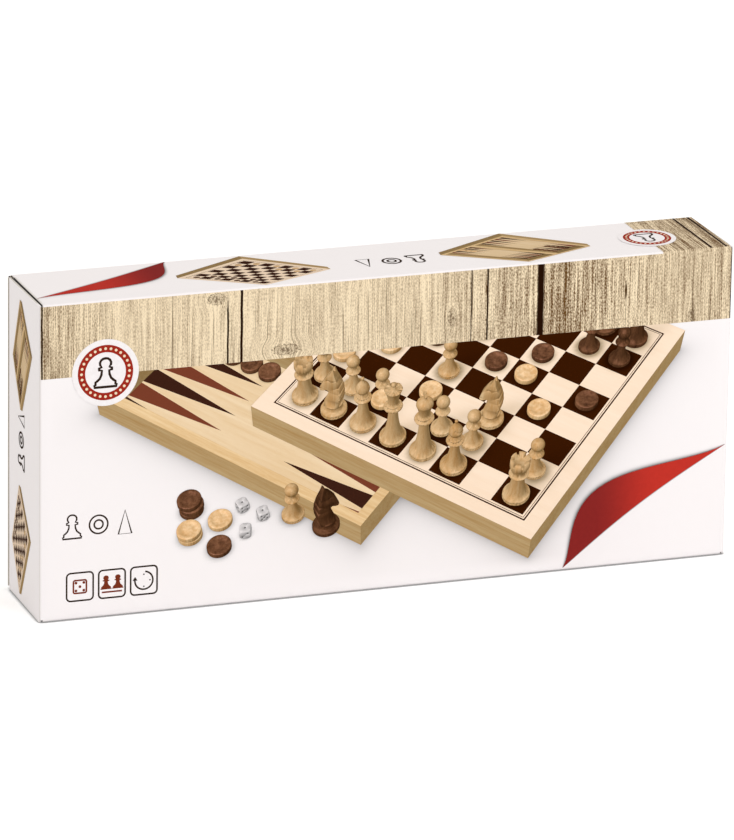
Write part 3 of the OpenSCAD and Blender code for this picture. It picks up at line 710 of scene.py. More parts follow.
class StillLife:
    """Games on a table, seen from above and laid flat on a panel as thin layers of ink, far to near."""

    def __init__(self, centre, scale, height, distance, tone=1.0):
        self.centre, self.scale, self.height, self.distance, self.tone = centre, scale, height, distance, tone
        self.corners, self.faces, self.inks, self.light, self.places, self.spans = [], [], [], [], [], []
        self.count = 0

    def seen(self, points):
        """Where points on the table, in metres, come on the panel."""
        rise, fall = math.sin(self.height), math.cos(self.height)
        depth = points[:, 1] * fall - points[:, 2] * rise
        near = self.scale * self.distance / (self.distance + depth)
        flat = np.column_stack((points[:, 0] * near, (points[:, 1] * rise + points[:, 2] * fall) * near))
        return flat + np.array(self.centre)

    def lay(self, shape, at, turn, ink_number, tone=1.0, feet=(), rise=0.0, vertex_tone=None):
        """Lays a shape in ink, turned and set down on the table, over what it covers."""
        points = shape["points"] @ spin(turn) + np.array(at)
        flat = self.seen(points)
        faces = shape["faces"]
        a, b, c = (flat[faces[:, i]] for i in range(3))
        turning = (b[:, 0] - a[:, 0]) * (c[:, 1] - a[:, 1]) - (b[:, 1] - a[:, 1]) * (c[:, 0] - a[:, 0])
        keep = turning > 1e-12
        faces = faces[keep]
        if not len(faces):
            return
        low, high = flat[np.unique(faces)].min(0), flat[np.unique(faces)].max(0)
        covered = [top for lo, hi, top in self.spans if (lo < high).all() and (low < hi).all()]
        level = max(covered, default=FIRST_LAYER) + LAYER + rise * shape["points"][:, 2]
        self.spans.append((low, high, float(level.max())))
        if vertex_tone is None:
            shine = self.lit(shape["normals"][keep] @ spin(turn), ink_number, rise) * tone * self.tone
            if len(feet):
                shine = shine * shadows(points, feet)[faces]
            if "spots" in shape:
                shine = shine * shape["spots"][keep][:, None]
        else:
            shine = vertex_tone[faces]
        self.corners.append(np.column_stack((flat, level)))
        self.faces.append(faces + self.count)
        self.count += len(flat)
        self.light.append(shine.reshape(-1))
        self.places.append(shape["pictured"])
        self.inks.append(np.full(len(faces), ink_number))

    def lit(self, normals, ink_number, rise):
        """The light on faces. Turned and lacquered pieces take harder light than the flat boards."""
        # Faces turned from both lights keep this much, and the sun brings a level face to 0.91
        base = 0.26 if rise else 0.50
        shine = base + (0.91 - base) / 0.82 * np.clip(normals @ SUN, 0, 1)
        shine += 0.10 * np.clip(normals @ BACK_LIGHT, 0, 1)
        if rise:
            half_way = unit(*(SUN + np.array((0, -math.cos(self.height), math.sin(self.height)))))
            shine += GLOSS[ink_number] * np.clip(normals @ half_way, 0, 1) ** 26
        return shine

    def finish(self, name, where, inks, clip=None):
        """Makes the picture a piece on its panel, cut off at a height where the planks begin."""
        piece = mesh_object(name, np.vstack(self.corners), np.vstack(self.faces))
        mesh = piece.data
        for material in inks:
            mesh.materials.append(material)
        mesh.polygons.foreach_set("material_index", np.concatenate(self.inks).astype(np.int32))
        light = mesh.attributes.new("pictured_light", "FLOAT_COLOR", "CORNER")
        # Shade on pale wood is warmer than the light
        tones = np.concatenate(self.light)[:, None] ** np.array((1.0, 1.06, 1.28, 0.0))
        light.data.foreach_set("color", tones.reshape(-1).astype(np.float32))
        places = mesh.attributes.new("pictured", "FLOAT_VECTOR", "POINT")
        places.data.foreach_set("vector", np.vstack(self.places).reshape(-1).astype(np.float32))
        with editing(piece):
            if clip is not None:
                bpy.ops.mesh.bisect(plane_co=(0, clip, 0), plane_no=(0, 1, 0), clear_outer=True)
                bpy.ops.mesh.select_all(action="SELECT")
            bpy.ops.mesh.delete_loose()
        mesh.transform(panel(where))
        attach(piece, PANEL_BODY[where])


def shadows(points, feet):
    """How light the table is at each point, near pieces that stand on it."""
    tone = np.ones(len(points))
    # A piece shades the table close round its foot, and throws a shadow to the right and away
    away = np.array((0.62, 0.30))
    for x, y, radius, tall in feet:
        spot = points[:, :2] - np.array((x, y))
        reach = np.clip(np.hypot(spot[:, 0], spot[:, 1]) / radius - 0.85, 0, None)
        tone *= 1 - 0.55 * np.exp(-(reach * 3.2) ** 2)
        cast = away * tall * 0.75
        share = np.clip((spot @ cast) / (cast @ cast), 0, 1)
        side = np.hypot(*(spot - share[:, None] * cast).T) / radius
        tone *= 1 - 0.30 * (1 - 0.5 * share) * np.exp(-(side * 1.25) ** 2)
    return tone


def plate(corner, first, second, cell=0.004):
    """A flat face of a pictured thing, from a corner along two edges, in small cells."""
    corner, first, second = (np.array(v, float) for v in (corner, first, second))
    columns, rows = (max(1, round(np.linalg.norm(edge) / cell)) for edge in (first, second))
    grid_u, grid_v = np.meshgrid(np.linspace(0, 1, columns + 1), np.linspace(0, 1, rows + 1), indexing="ij")
    points = corner + grid_u.reshape(-1, 1) * first + grid_v.reshape(-1, 1) * second
    cells = strip_faces(columns + 1, rows + 1)
    faces = np.array([face for a, b, c, d in cells for face in ((a, b, c), (a, c, d))])
    normal = np.cross(first, second)
    normal /= np.linalg.norm(normal)
    normals = np.tile(normal, (len(faces), 3, 1))
    return {"points": points, "faces": faces, "normals": normals, "pictured": points.copy()}


def walls(x0, x1, y0, y1, foot, tall):
    """The four upright faces of a box, seen from outside, or from inside where x runs back."""
    return [
        plate((x0, y0, foot), (x1 - x0, 0, 0), (0, 0, tall)),
        plate((x1, y1, foot), (x0 - x1, 0, 0), (0, 0, tall)),
        plate((x0, y1, foot), (0, y0 - y1, 0), (0, 0, tall)),
        plate((x1, y0, foot), (0, y1 - y0, 0), (0, 0, tall)),
    ]


def pictured_piece(node, size, keep=0.6):
    """The shape of one piece of the set, taken from the lowest corner of its node."""
    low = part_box(node)[0]
    copy = bpy.data.objects.new("pictured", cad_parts[node].data.copy())
    bpy.context.scene.collection.objects.link(copy)
    mesh = copy.data
    for vertex in mesh.vertices:
        vertex.select = any(vertex.co[i] - low[i] > size[i] + 0.1 * MM for i in range(3))
    for part in (*mesh.polygons, *mesh.edges):
        part.select = False
    alone(copy)
    bpy.ops.object.mode_set(mode="EDIT")
    bpy.ops.mesh.select_mode(type="VERT")
    bpy.ops.mesh.delete(type="VERT")
    bpy.ops.mesh.select_all(action="SELECT")
    bpy.ops.mesh.remove_doubles(threshold=0.02 * MM)
    bpy.ops.object.mode_set(mode="OBJECT")
    thin = copy.modifiers.new("thin", "DECIMATE")
    thin.ratio = keep
    bpy.ops.object.modifier_apply(modifier="thin")
    corners = np.array([v.co for v in mesh.vertices])
    middle = (corners.min(0) + corners.max(0)) / 2
    middle[2] = corners[:, 2].min()
    mesh.transform(Matrix.Translation(-Vector(middle)))
    bpy.ops.object.shade_smooth_by_angle(angle=math.radians(40))
    mesh.calc_loop_triangles()
    faces = np.array([t.vertices for t in mesh.loop_triangles])
    loops = np.array([t.loops for t in mesh.loop_triangles])
    normals = np.array([n.vector for n in mesh.corner_normals])[loops]
    points = np.array([v.co for v in mesh.vertices])
    bpy.data.objects.remove(copy)
    return {"points": points, "faces": faces, "normals": normals, "pictured": points.copy()}


def varied(shape, seed):
    """The same piece cut from another part of the wood."""
    return {**shape, "pictured": shape["pictured"] + np.array((seed * 0.061, seed * 0.037, seed * 0.019))}


def grown(shape, size):
    """The same piece, turned in a larger size."""
    return {**shape, "points": shape["points"] * size}


def pipped(shape, turn, edge):
    """The die turned square again, with ink in its pips."""
    back = spin(-turn)
    points = shape["points"] @ back
    reach = np.sort(np.abs(points[shape["faces"]].mean(axis=1) - np.array((0, 0, edge / 2))), axis=1)
    sunk = (reach[:, 2] < 0.496 * edge) & (reach[:, 1] < 0.36 * edge)
    return {**shape, "points": points, "pictured": points, "normals": shape["normals"] @ back,
            "spots": np.where(sunk, 0.10, 1.0)}


# The space that one piece of each kind takes in its node, in millimetres
PIECE_SIZES = {kind: (19.5, 19.5, 70) for kind in ("king", "queen", "bishops", "knights", "rooks")}
PIECE_SIZES.update({"pawns": (16.5, 16.5, 70), "draughts": (22, 22, 6), "dice": (12.5, 12.5, 12.5)})
DRAUGHT_LEVEL = 6.1 * MM
# The pictured board: half its sides, its thickness, its rails' width and its floors' thickness
BOARD_LENGTH, BOARD_HALF, BOARD_THICK, RAIL, INNER = 0.196, 0.1752, 0.036, 0.013, 0.0043
# Where the open case and the board lie on the front's table
BOARD_SPOTS = ((-0.088, 0.040, 0.0), (0.098, 0.0, 0.0))
# Games that lie beside them, far to near: kind, ink, place on the table and level in a stack
LOOSE_GAMES = (
    ("draughts", DARK, -0.224, -0.146, 0), ("draughts", DARK, -0.223, -0.147, 1),
    ("draughts", DARK, -0.225, -0.146, 2), ("dice", GROUND, -0.166, -0.150, 0),
    ("draughts", LIGHT, -0.190, -0.166, 0), ("dice", GROUND, -0.142, -0.164, 0),
    ("pawns", LIGHT, -0.108, -0.166, 0), ("draughts", LIGHT, -0.222, -0.182, 0),
    ("draughts", LIGHT, -0.2225, -0.1825, 1), ("dice", GROUND, -0.160, -0.186, 0),
    ("knights", DARK, -0.070, -0.186, 0), ("draughts", DARK, -0.188, -0.202, 0),
)


def front_still_life():
    """The front's still life with nothing laid yet."""
    settings = bpy.context.scene.games_picture
    return StillLife((0.0, 0.112), settings.scale, settings.height, settings.distance)


def ground_tone(life, spots):
    """Where spots on the panel are on the white table, and how light the table is there."""
    turn = bpy.context.scene.games_picture.turn
    rise, fall = math.sin(life.height), math.cos(life.height)
    flat = spots - np.array(life.centre)
    y = flat[:, 1] * life.distance / (rise * life.scale * life.distance - flat[:, 1] * fall)
    x = flat[:, 0] * (life.distance + y * fall) / (life.scale * life.distance)
    table = np.column_stack((x, y, np.zeros(len(x))))
    shade = np.ones(len(x))
    for at in BOARD_SPOTS:
        away = table[:, :2] - np.array(at[:2])
        across = np.abs(away[:, 0] * math.cos(turn) + away[:, 1] * math.sin(turn)) - BOARD_LENGTH
        along = np.abs(-away[:, 0] * math.sin(turn) + away[:, 1] * math.cos(turn)) - BOARD_HALF
        gap = np.hypot(np.clip(across, 0, None), np.clip(along, 0, None))
        # Dense along the board's edge, and faint for some centimetres more
        shade *= 1 - 0.34 * np.exp(-gap / 0.009) - 0.10 * np.exp(-gap / 0.03)
    # What stands on the table: its place, its foot's radius and its height
    feet = [(x, y, 0.0065 if kind == "dice" else 0.0140, 0.010 if kind in ("dice", "draughts") else 0.050)
            for kind, _, x, y, level in LOOSE_GAMES if level == 0]
    shade *= 1 - 0.8 * (1 - shadows(table, feet))
    return table, shade


def lay_ground(life):
    """The white table, with the soft shade that the open boards leave on it."""
    # It stops short of the panel's edges, where its shade fades over 6 mm, and runs up to the planks
    left, right, low, high = LOW.x + 0.003, HIGH.x - 0.003, 0.0035, 0.1385
    grid = plate((left, low, 0), (right - left, 0, 0), (0, high - low, 0), 0.0016)
    spots = grid["points"][:, :2].copy()
    table, shade = ground_tone(life, spots)
    edge = np.minimum.reduce([spots[:, 0] - left, right - spots[:, 0], spots[:, 1] - low])
    shade = 1 - (1 - shade) * np.clip(edge / 0.006, 0, 1)
    grid["points"] = grid["pictured"] = table
    life.lay(grid, (0, 0, 0), 0.0, GROUND, vertex_tone=shade / WHITE_LIGHT)


def turned(spot, at, turn):
    """Where a spot of a board comes on the table."""
    return (at[0] + spot[0] * math.cos(turn) - spot[1] * math.sin(turn),
            at[1] + spot[0] * math.sin(turn) + spot[1] * math.cos(turn))


def lay_sides(life, at, turn):
    """The outer sides of a board or case."""
    for side in walls(-BOARD_LENGTH, BOARD_LENGTH, -BOARD_HALF, BOARD_HALF, 0, BOARD_THICK):
        life.lay(side, at, turn, SIDES, 0.74)


def lay_board(life, at, turn, feet=()):
    """The open board, squares up: its top and the sides that are seen."""
    world_feet = [(*turned((x, y), at, turn), r, h) for x, y, r, h in feet]
    lay_sides(life, at, turn)
    corner = (-BOARD_LENGTH, -BOARD_HALF, BOARD_THICK)
    top = plate(corner, (2 * BOARD_LENGTH, 0, 0), (0, 2 * BOARD_HALF, 0))
    life.lay(top, at, turn, BOARD, 1.04, world_feet)


def lay_tray(life, at, turn, pieces=()):
    """The open case, inside up: floors with points, the draughts on them, then rails and sides."""
    length, half, thick, floor = BOARD_LENGTH - RAIL, BOARD_HALF, BOARD_THICK, INNER
    feet = [(*turned(spot, at, turn), 0.011, 0.004) for _, spot, _ in pieces]
    wells = [(-half + RAIL, -RAIL), (RAIL, half - RAIL)]
    for low, high in wells:
        ground = plate((-length, low, floor), (2 * length, 0, 0), (0, high - low, 0))
        life.lay(ground, at, turn, FLOOR, 0.98, feet)
    for low, high in wells:
        for wall in walls(length, -length, low, high, floor, thick - floor):
            life.lay(wall, at, turn, SIDES, 0.62)
    order = sorted(pieces, key=lambda p: -turned(p[1], at, turn)[1])
    for number, (shape, spot, ink_number) in enumerate(order):
        place = (*turned(spot, at, turn), at[2] + floor)
        life.lay(varied(shape, number), place, 0.4 * number, ink_number, WOOD_TONES[ink_number], rise=RELIEF)
    lay_sides(life, at, turn)
    for y in (-half, -RAIL, 0, half - RAIL):
        life.lay(plate((-BOARD_LENGTH, y, thick), (2 * BOARD_LENGTH, 0, 0), (0, RAIL, 0)),
                 at, turn, SIDES, 1.06 if y else 1.0)
    for x in (-BOARD_LENGTH, length):
        for y in (-half + RAIL, RAIL):
            life.lay(plate((x, y, thick), (RAIL, 0, 0), (0, half - 2 * RAIL, 0)), at, turn, SIDES, 1.04)


def on(column, row):
    """The middle of a square of the board."""
    return ((column - 3.5) * SQUARES[0], (row - 3.5) * SQUARES[1])


def facing(kind, ink_number, number):
    """How a pictured piece is turned: knights show their profile, and the rest stand as they come."""
    if kind == "knights":
        return 2.75 if ink_number == LIGHT else 0.45
    return 0.7 * number


def chosen_men():
    """Which men stand on the pictured board: kind, ink, and place on the board."""
    order = ("rooks", "knights", "bishops", "king", "queen", "bishops", "knights", "rooks")
    spots = [(kind, LIGHT, (column, 7)) for column, kind in enumerate(order) if column != 1]
    spots += [("pawns", LIGHT, (column, 6)) for column in (0, 2, 3, 5, 6, 7)]
    spots += [("knights", LIGHT, (2, 5)), ("pawns", LIGHT, (4, 4))]
    spots += [(order[column], DARK, (column, 0)) for column in (0, 1, 2, 5, 7)]
    spots += [("pawns", DARK, square) for square in ((0, 1), (1, 1), (3, 1), (6, 1), (7, 1), (4, 2))]
    spots += [("draughts", LIGHT, square) for square in ((1, 4), (6, 4), (7, 5), (4, 5), (2, 3), (5, 6))]
    spots += [("draughts", DARK, square) for square in ((0, 3), (2, 2), (5, 3), (6, 2), (3, 3), (7, 2))]
    return [(kind, ink_number, on(*square)) for kind, ink_number, square in spots]


# ---------------------------------------------------------------- operators

class BoxOperator(bpy.types.Operator):
    """Shared by the steps that dress the box."""

    bl_options = {"REGISTER", "UNDO"}

    @classmethod
    def poll(cls, context):
        return context.mode == "OBJECT"


class GAMESBOX_OT_board(BoxOperator):
    """Give the carton its coated board."""

    bl_idname = "gamesbox.board"
    bl_label = "Carton board"

    def execute(self, context):
        half = HIGH.z / 2
        sleeve = coated_boxboard(
            "boxboard_sleeve", ("Y", "Z"), (HIGH.y, half), (0.0, half), ("#E4DFD8", "#F0ECE6"), "front")
        dress(["carton_sleeve"], sleeve)
        depth = (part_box("left_tuck_lip")[1].y - LOW.y) / 2
        ends = coated_boxboard(
            "boxboard_ends", ("X", "Y"), (HIGH.x, depth), (0.0, LOW.y + depth), ("#D2CCC4", "#E0DAD2"),
            "rear")
        dress([n for n in CARTON_NODES if "closure" in n or "lip" in n], ends)
        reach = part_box("right_upper_dust_flap")[1].x
        # The flaps carry the painted shade of the slit along their creases
        flaps = coated_boxboard("boxboard_flaps", ("X", "Z"), (reach, half), (0.0, half), painted_slit_shade=True)
        dress([n for n in CARTON_NODES if "dust_flap" in n], flaps)
        return {"FINISHED"}


class GAMESBOX_OT_case(BoxOperator):
    """Give the folding case its beech rails, printed boards, brass hinges and catches."""

    bl_idname = "gamesbox.case"
    bl_label = "Folding case"

    def execute(self, context):
        beech = "#F0DDB2", "#CDAA70"
        long_rail = grained_wood("planed_beech_long", *beech, 0)
        short_rail = grained_wood("planed_beech_short", *beech, 2)
        fold_rail = grained_wood("planed_beech_printed", *beech, 0, pattern="outside")
        veneer = grained_wood("birch_plywood_printed", "#F7E8C8", "#E6CFA2", 0, ring=4.0, pattern="both")
        for side in ("front", "back"):
            dress([f"{side}_tray_bottom_rail"], long_rail)
            dress([f"{side}_tray_top_rail"], fold_rail)
            dress([f"{side}_tray_left_rail", f"{side}_tray_right_rail"], short_rail)
            dress([f"{side}_board_panel"], veneer)
        dress(["front_hinge_leaves", "back_hinge_leaves", "hinge_pins", "hinge_screws"], lacquered_brass())
        dress(["front_catch_discs", "back_catch_discs"], ground_steel())
        return {"FINISHED"}


class GAMESBOX_OT_games(BoxOperator):
    """Give the chessmen, draughts, dice and leaflet their finishes."""

    bl_idname = "gamesbox.games"
    bl_label = "Games"

    def execute(self, context):
        light = grained_wood("turned_boxwood", "#E9CB92", "#C79B5C", 2, gloss=0.32)
        dark = grained_wood("turned_stained_wood", "#5E3220", "#2E140C", 2, gloss=0.3)
        kinds = [kind for kind in PIECE_SIZES if kind != "dice"]
        dress([f"light_{kind}" for kind in kinds], light)
        dress([f"dark_{kind}" for kind in kinds] + ["dark_dice"], dark)
        dress(["light_dice", "doubling_cube"], cast_acrylic())
        dress(["rules_leaflet"], leaflet_stock())
        return {"FINISHED"}


class GAMESBOX_OT_planks(BoxOperator):
    """Print the weathered planks along the front and over the top's right end."""

    bl_idname = "gamesbox.planks"
    bl_label = "Plank print"

    def execute(self, context):
        settings = context.scene.carton_print
        wood = weathered_planks()
        radius, lift = settings.fold_radius, 4 * settings.ink_lift
        full = radius + lift
        # The print follows the front's folds round by this much, and the top's fold all the way
        wrap = math.radians(38)
        ends, seam = HIGH.x - radius * (1 - math.sin(wrap)), HIGH.x - settings.patch_length
        columns = [-ends, -HIGH.x + radius, seam, HIGH.x - radius, ends]
        for face, edge, sign in (("front", LOW.y, -1), ("back", HIGH.y, 1)):
            y, z = edge - sign * radius, HIGH.z - radius
            rounded = [(y + sign * full * math.cos(a), z + full * math.sin(a))
                       for a in (math.radians(9 * i) for i in range(1, 11))]
            flat = edge + sign * lift
            profile = [(flat, HIGH.z - settings.band_height), (flat, z), *rounded[:3]]
            corners = []
            for x in columns:
                inward = radius * (1 - math.cos(wrap)) if abs(x) == ends else 0.0
                corners += [(x, y - sign * inward, z) for y, z in profile]
            faces = strip_faces(len(columns), len(profile))
            # The patch turns over the fold and runs across the top
            strip = rounded[2:] + [(0.0, HIGH.z + lift)]
            faces += [tuple(len(corners) + i for i in cell) for cell in strip_faces(2, len(strip))]
            corners += [(x, y, z) for x in (seam, HIGH.x - radius) for y, z in strip]
            band = mesh_object(f"{face}_plank_print", corners, faces)
            if sign > 0:
                band.data.flip_normals()
            band.data.materials.append(wood)
            with editing(band):
                bpy.ops.mesh.remove_doubles(threshold=1e-6)
            bpy.ops.object.shade_smooth_by_angle(angle=math.radians(30))
            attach(band, "carton")
        return {"FINISHED"}


class GAMESBOX_OT_picture(BoxOperator):
    """Print the still life of the open board and case on the front."""

    bl_idname = "gamesbox.picture"
    bl_label = "Games picture"

    def execute(self, context):
        settings = context.scene.games_picture
        turn, size = settings.turn, settings.men_size
        shapes = {}
        for kind, space in PIECE_SIZES.items():
            shape = pictured_piece(f"light_{kind}", [v * MM for v in space], 1.0 if kind == "dice" else 0.6)
            if kind == "dice":
                shape = pipped(shape, math.radians(12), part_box("light_dice")[1].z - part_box("light_dice")[0].z)
            shapes[kind] = grown(shape, {"draughts": settings.draughts_size, "dice": 1.25}.get(kind, size))
        inks = picture_inks()
        life = front_still_life()
        lay_ground(life)
        tray_at, board_at = BOARD_SPOTS
        # Two rows of draughts lie in the case, each draught 28 mm on from the last
        draughts = [(shapes["draughts"], ((180 - 15 - 28 * i) * MM, 29 * MM), DARK) for i in range(5)]
        draughts += [(shapes["draughts"], ((-180 + 15 + 28 * i) * MM, -30 * MM), LIGHT) for i in range(2)]
        lay_tray(life, tray_at, turn, draughts)
        men = chosen_men()
        # Each man's place, the radius of its foot and its height, for its shadow
        feet = [(*spot, 0.0135, 0.006) if kind == "draughts" else (*spot, 0.0098 * size, 0.045 * size)
                for kind, _, spot in men]
        lay_board(life, board_at, turn, feet)

        def stand(kind, ink_number, number, seed, place):
            tone = WOOD_TONES[ink_number] if kind == "draughts" else MEN_TONE
            life.lay(varied(shapes[kind], number + seed), place, facing(kind, ink_number, number), ink_number,
                     tone, rise=RELIEF)

        ordered = sorted(men, key=lambda m: -turned(m[2], board_at, turn)[1])
        for number, (kind, ink_number, spot) in enumerate(ordered):
            stand(kind, ink_number, number, 3, (*turned(spot, board_at, turn), BOARD_THICK))
        for number, (kind, ink_number, x, y, level) in enumerate(LOOSE_GAMES):
            stand(kind, ink_number, number, 40, (x, y, level * DRAUGHT_LEVEL * settings.draughts_size))
        band = context.scene.carton_print.band_height
        life.finish("games_picture", "front", inks, clip=HIGH.z - band + 0.2 * MM)
        return {"FINISHED"}


class GAMESBOX_OT_roundels(BoxOperator):
    """Print the white roundels with their red rings."""

    bl_idname = "gamesbox.roundels"
    bl_label = "Roundels"

    def execute(self, context):
        settings = context.scene.carton_print
        white = offset_ink("white_ground", tuple(settings.board_white))
        red = offset_ink("ring_ink", tuple(settings.ring_red))
        line = offset_ink("brown_ink", tuple(settings.line))
        cream = offset_ink("cream_ink", "#F6E3C4")
        radius, middle, count = settings.roundel_radius, settings.roundel_radius * 0.72, 28
        turns = [math.tau * i / count for i in range(count)]
        around = [(middle * math.cos(a), middle * math.sin(a)) for a in turns]
        # Each roundel: its panel, its middle there and its size
        for where, at, size in (("front", (-0.163, 0.1395), 1.0), ("top", (-0.1597, 0.0022), 0.86)):
            for part, drawing, layer, colour in (
                    ("ground", disc(radius, sides=96), 7, white),
                    ("ring", ring(radius * 0.83, radius * 0.61), 8, red),
                    ("beads", joined([disc(radius * 0.042, spot, 12) for spot in around], "beads"), 9, cream),
                    ("pawn", stroke(pawn_outline(radius * 0.86), radius * 0.075), 8, line)):
                printed(f"{where}_roundel_{part}", drawing, where, layer, colour, at, size)
        return {"FINISHED"}


def edge_shadow(name, where, edge, outward, width, dark, material, under):
    """A soft printed shadow along an edge, darkest there and gone at its width."""
    shares = (0.0, 0.12, 0.28, 0.5, 0.75, 1.0)
    last = len(edge) - 1
    corners, light = [], []
    for i, spot in enumerate(edge):
        run = edge[min(i + 1, last)] - edge[max(i - 1, 0)]
        across = Vector((-run.y, run.x)).normalized()
        if across.dot(outward) < 0:
            across.negate()
        reach = width * (0.12 + 0.88 * math.sin(math.pi * i / last) ** 0.4)
        for share in shares:
            corners.append((*(spot + across * reach * share), 0))
            light.append(1 - dark * (1 - share) ** 2)
    light = np.array(light) * under(np.array(corners)[:, :2]) / WHITE_LIGHT
    tones = np.column_stack((light, light, light, np.ones(len(light)))).reshape(-1).astype(np.float32)
    strip = mesh_object("shadow", corners, strip_faces(last + 1, len(shares)))
    strip.data.attributes.new("pictured_light", "FLOAT_COLOR", "POINT").data.foreach_set("color", tones)
    printed(name, strip, where, 2, material)


class GAMESBOX_OT_sweeps(BoxOperator):
    """Print the red sweeps across two corners."""

    bl_idname = "gamesbox.sweeps"
    bl_label = "Red sweeps"

    def execute(self, context):
        settings = context.scene.carton_print
        ground = pictured_ground()
        life = front_still_life()
        steps = 24
        # Each sweep: its corner, its two ends, how far its edges bulge, its shadows' widths, the way that its
        # red deepens, how far its red is darkened, which on the top is painted shade, and how light the white is
        # under its shadows
        for where, corner, ends, bulge, widths, along, depth, under in (
                ("front", (0.1985, 0.0022), ((0.1985, 0.0650), (0.1035, 0.0016)), (0.0035, 0.0285),
                 (0.0036, 0.0010), (-1, 0, 0), 1.0, lambda spots: ground_tone(life, spots)[1]),
                ("top", (0.1975, -0.0285), ((0.1975, 0.0170), (0.1110, -0.0290)), (0.0020, 0.0240),
                 (0.0030, 0.0022), (1, 0, 0), 0.92, lambda spots: 1.0)):
            start, end = (Vector(p) for p in ends)
            out = ((start + end) / 2 - Vector(corner)).normalized()
            inner, outer = [], []
            for t in (i / steps for i in range(steps + 1)):
                base = start.lerp(end, t)
                inner.append(base + out * (bulge[0] * math.sin(math.pi * t)))
                outer.append(base + out * (bulge[1] * math.sin(math.pi * t ** 1.15) ** 1.25))
            faces = [(i, i + 1, steps + i + 2, steps + i + 1) for i in range(steps)]
            sweep = mesh_object("sweep", [(*p, 0) for p in inner + outer], faces)
            # On the top the red is darkened, a painted shade of the same ink
            reds = [tuple(c * depth for c in red) for red in (settings.red, settings.deep_red)]
            ink_red = offset_ink(f"{where}_red_ink", *reds, along, -0.160, -0.120)
            printed(f"{where}_red_sweep", sweep, where, 3, ink_red)
            edge_shadow(f"{where}_sweep_shadow", where, outer, out, widths[0], 0.92, ground, under)
            edge_shadow(f"{where}_sweep_edge", where, inner, -out, widths[1], 0.88, ground, under)
        return {"FINISHED"}


def die_icon(size, width):
    """A die's face with five pips."""
    spots = ((-1, -1), (-1, 1), (0, 0), (1, -1), (1, 1))
    pips = [disc(size * 0.05, (x * size * 0.14, y * size * 0.14), 16) for x, y in spots]
    return joined([border(size * 0.52, size * 0.52, size * 0.09, width)] + pips, "die")


def players_icon(size, width):
    """Two pawns over a line."""
    pawns = [moved(filled(pawn_outline(size * 0.5)), side * size * 0.21, size * 0.06) for side in (-1, 1)]
    reach, low = size * 0.36, -size * 0.29
    return joined(pawns + [stroke([(-reach, low), (reach, low)], width, loop=False)], "players")


def turns_icon(size, width):
    """A ring that is nearly closed, with an arrow's head at its end and three strokes of a dial."""
    radius = size * 0.32
    angles = [math.radians(8 + 5 * i) for i in range(55)]
    path = [(radius * math.sin(a), radius * math.cos(a)) for a in angles]
    marks = [disc(size * 0.028, (radius * 0.68 * math.sin(a), radius * 0.68 * math.cos(a)), 12)
             for a in (0, math.pi / 2, math.pi)]
    x, y = path[-1]
    low = y - size * 0.03
    head = filled([(x - size * 0.09, low), (x + size * 0.09, low), (x, y + size * 0.11)])
    return joined([stroke(path, width, loop=False)] + marks + [head], "turns")


class GAMESBOX_OT_drawings(BoxOperator):
    """Print the framed icons and the rows of line drawings."""

    bl_idname = "gamesbox.drawings"
    bl_label = "Line drawings"

    def execute(self, context):
        settings = context.scene.carton_print
        line = offset_ink("line_ink", tuple(settings.line))
        brown = offset_ink("pictogram_ink", "#7A3420")
        size, width = settings.icon_size, settings.line_width
        icons = ((-0.177, die_icon, brown), (-0.1588, players_icon, brown), (-0.1406, turns_icon, line))
        for number, (x, draw, colour) in enumerate(icons):
            at = (x, 0.0188)
            frame_line = border(size, size * 1.06, size * 0.17, width)
            printed(f"icon_frame_{number}", frame_line, "front", 2, line, at)
            printed(f"icon_drawing_{number}", draw(size, width), "front", 2, colour, at)
        # Each row of drawings: its panel and middle, how tall and how far apart they are, and their line
        for where, at, height, gap, weight in (
                ("front", (-0.1665, 0.0535), 0.0135, 0.0150, 1.0),
                ("top", (-0.009, 0.0040), 0.0135, 0.0150, 1.35),
                ("left", (0.0940, 0.0035), 0.0115, 0.0120, 1.35),
                ("right", (-0.0940, 0.0035), 0.0115, 0.0120, 1.35)):
            printed(f"{where}_three_games", three_games(height, gap, width * weight), where, 2, line, at)
        return {"FINISHED"}


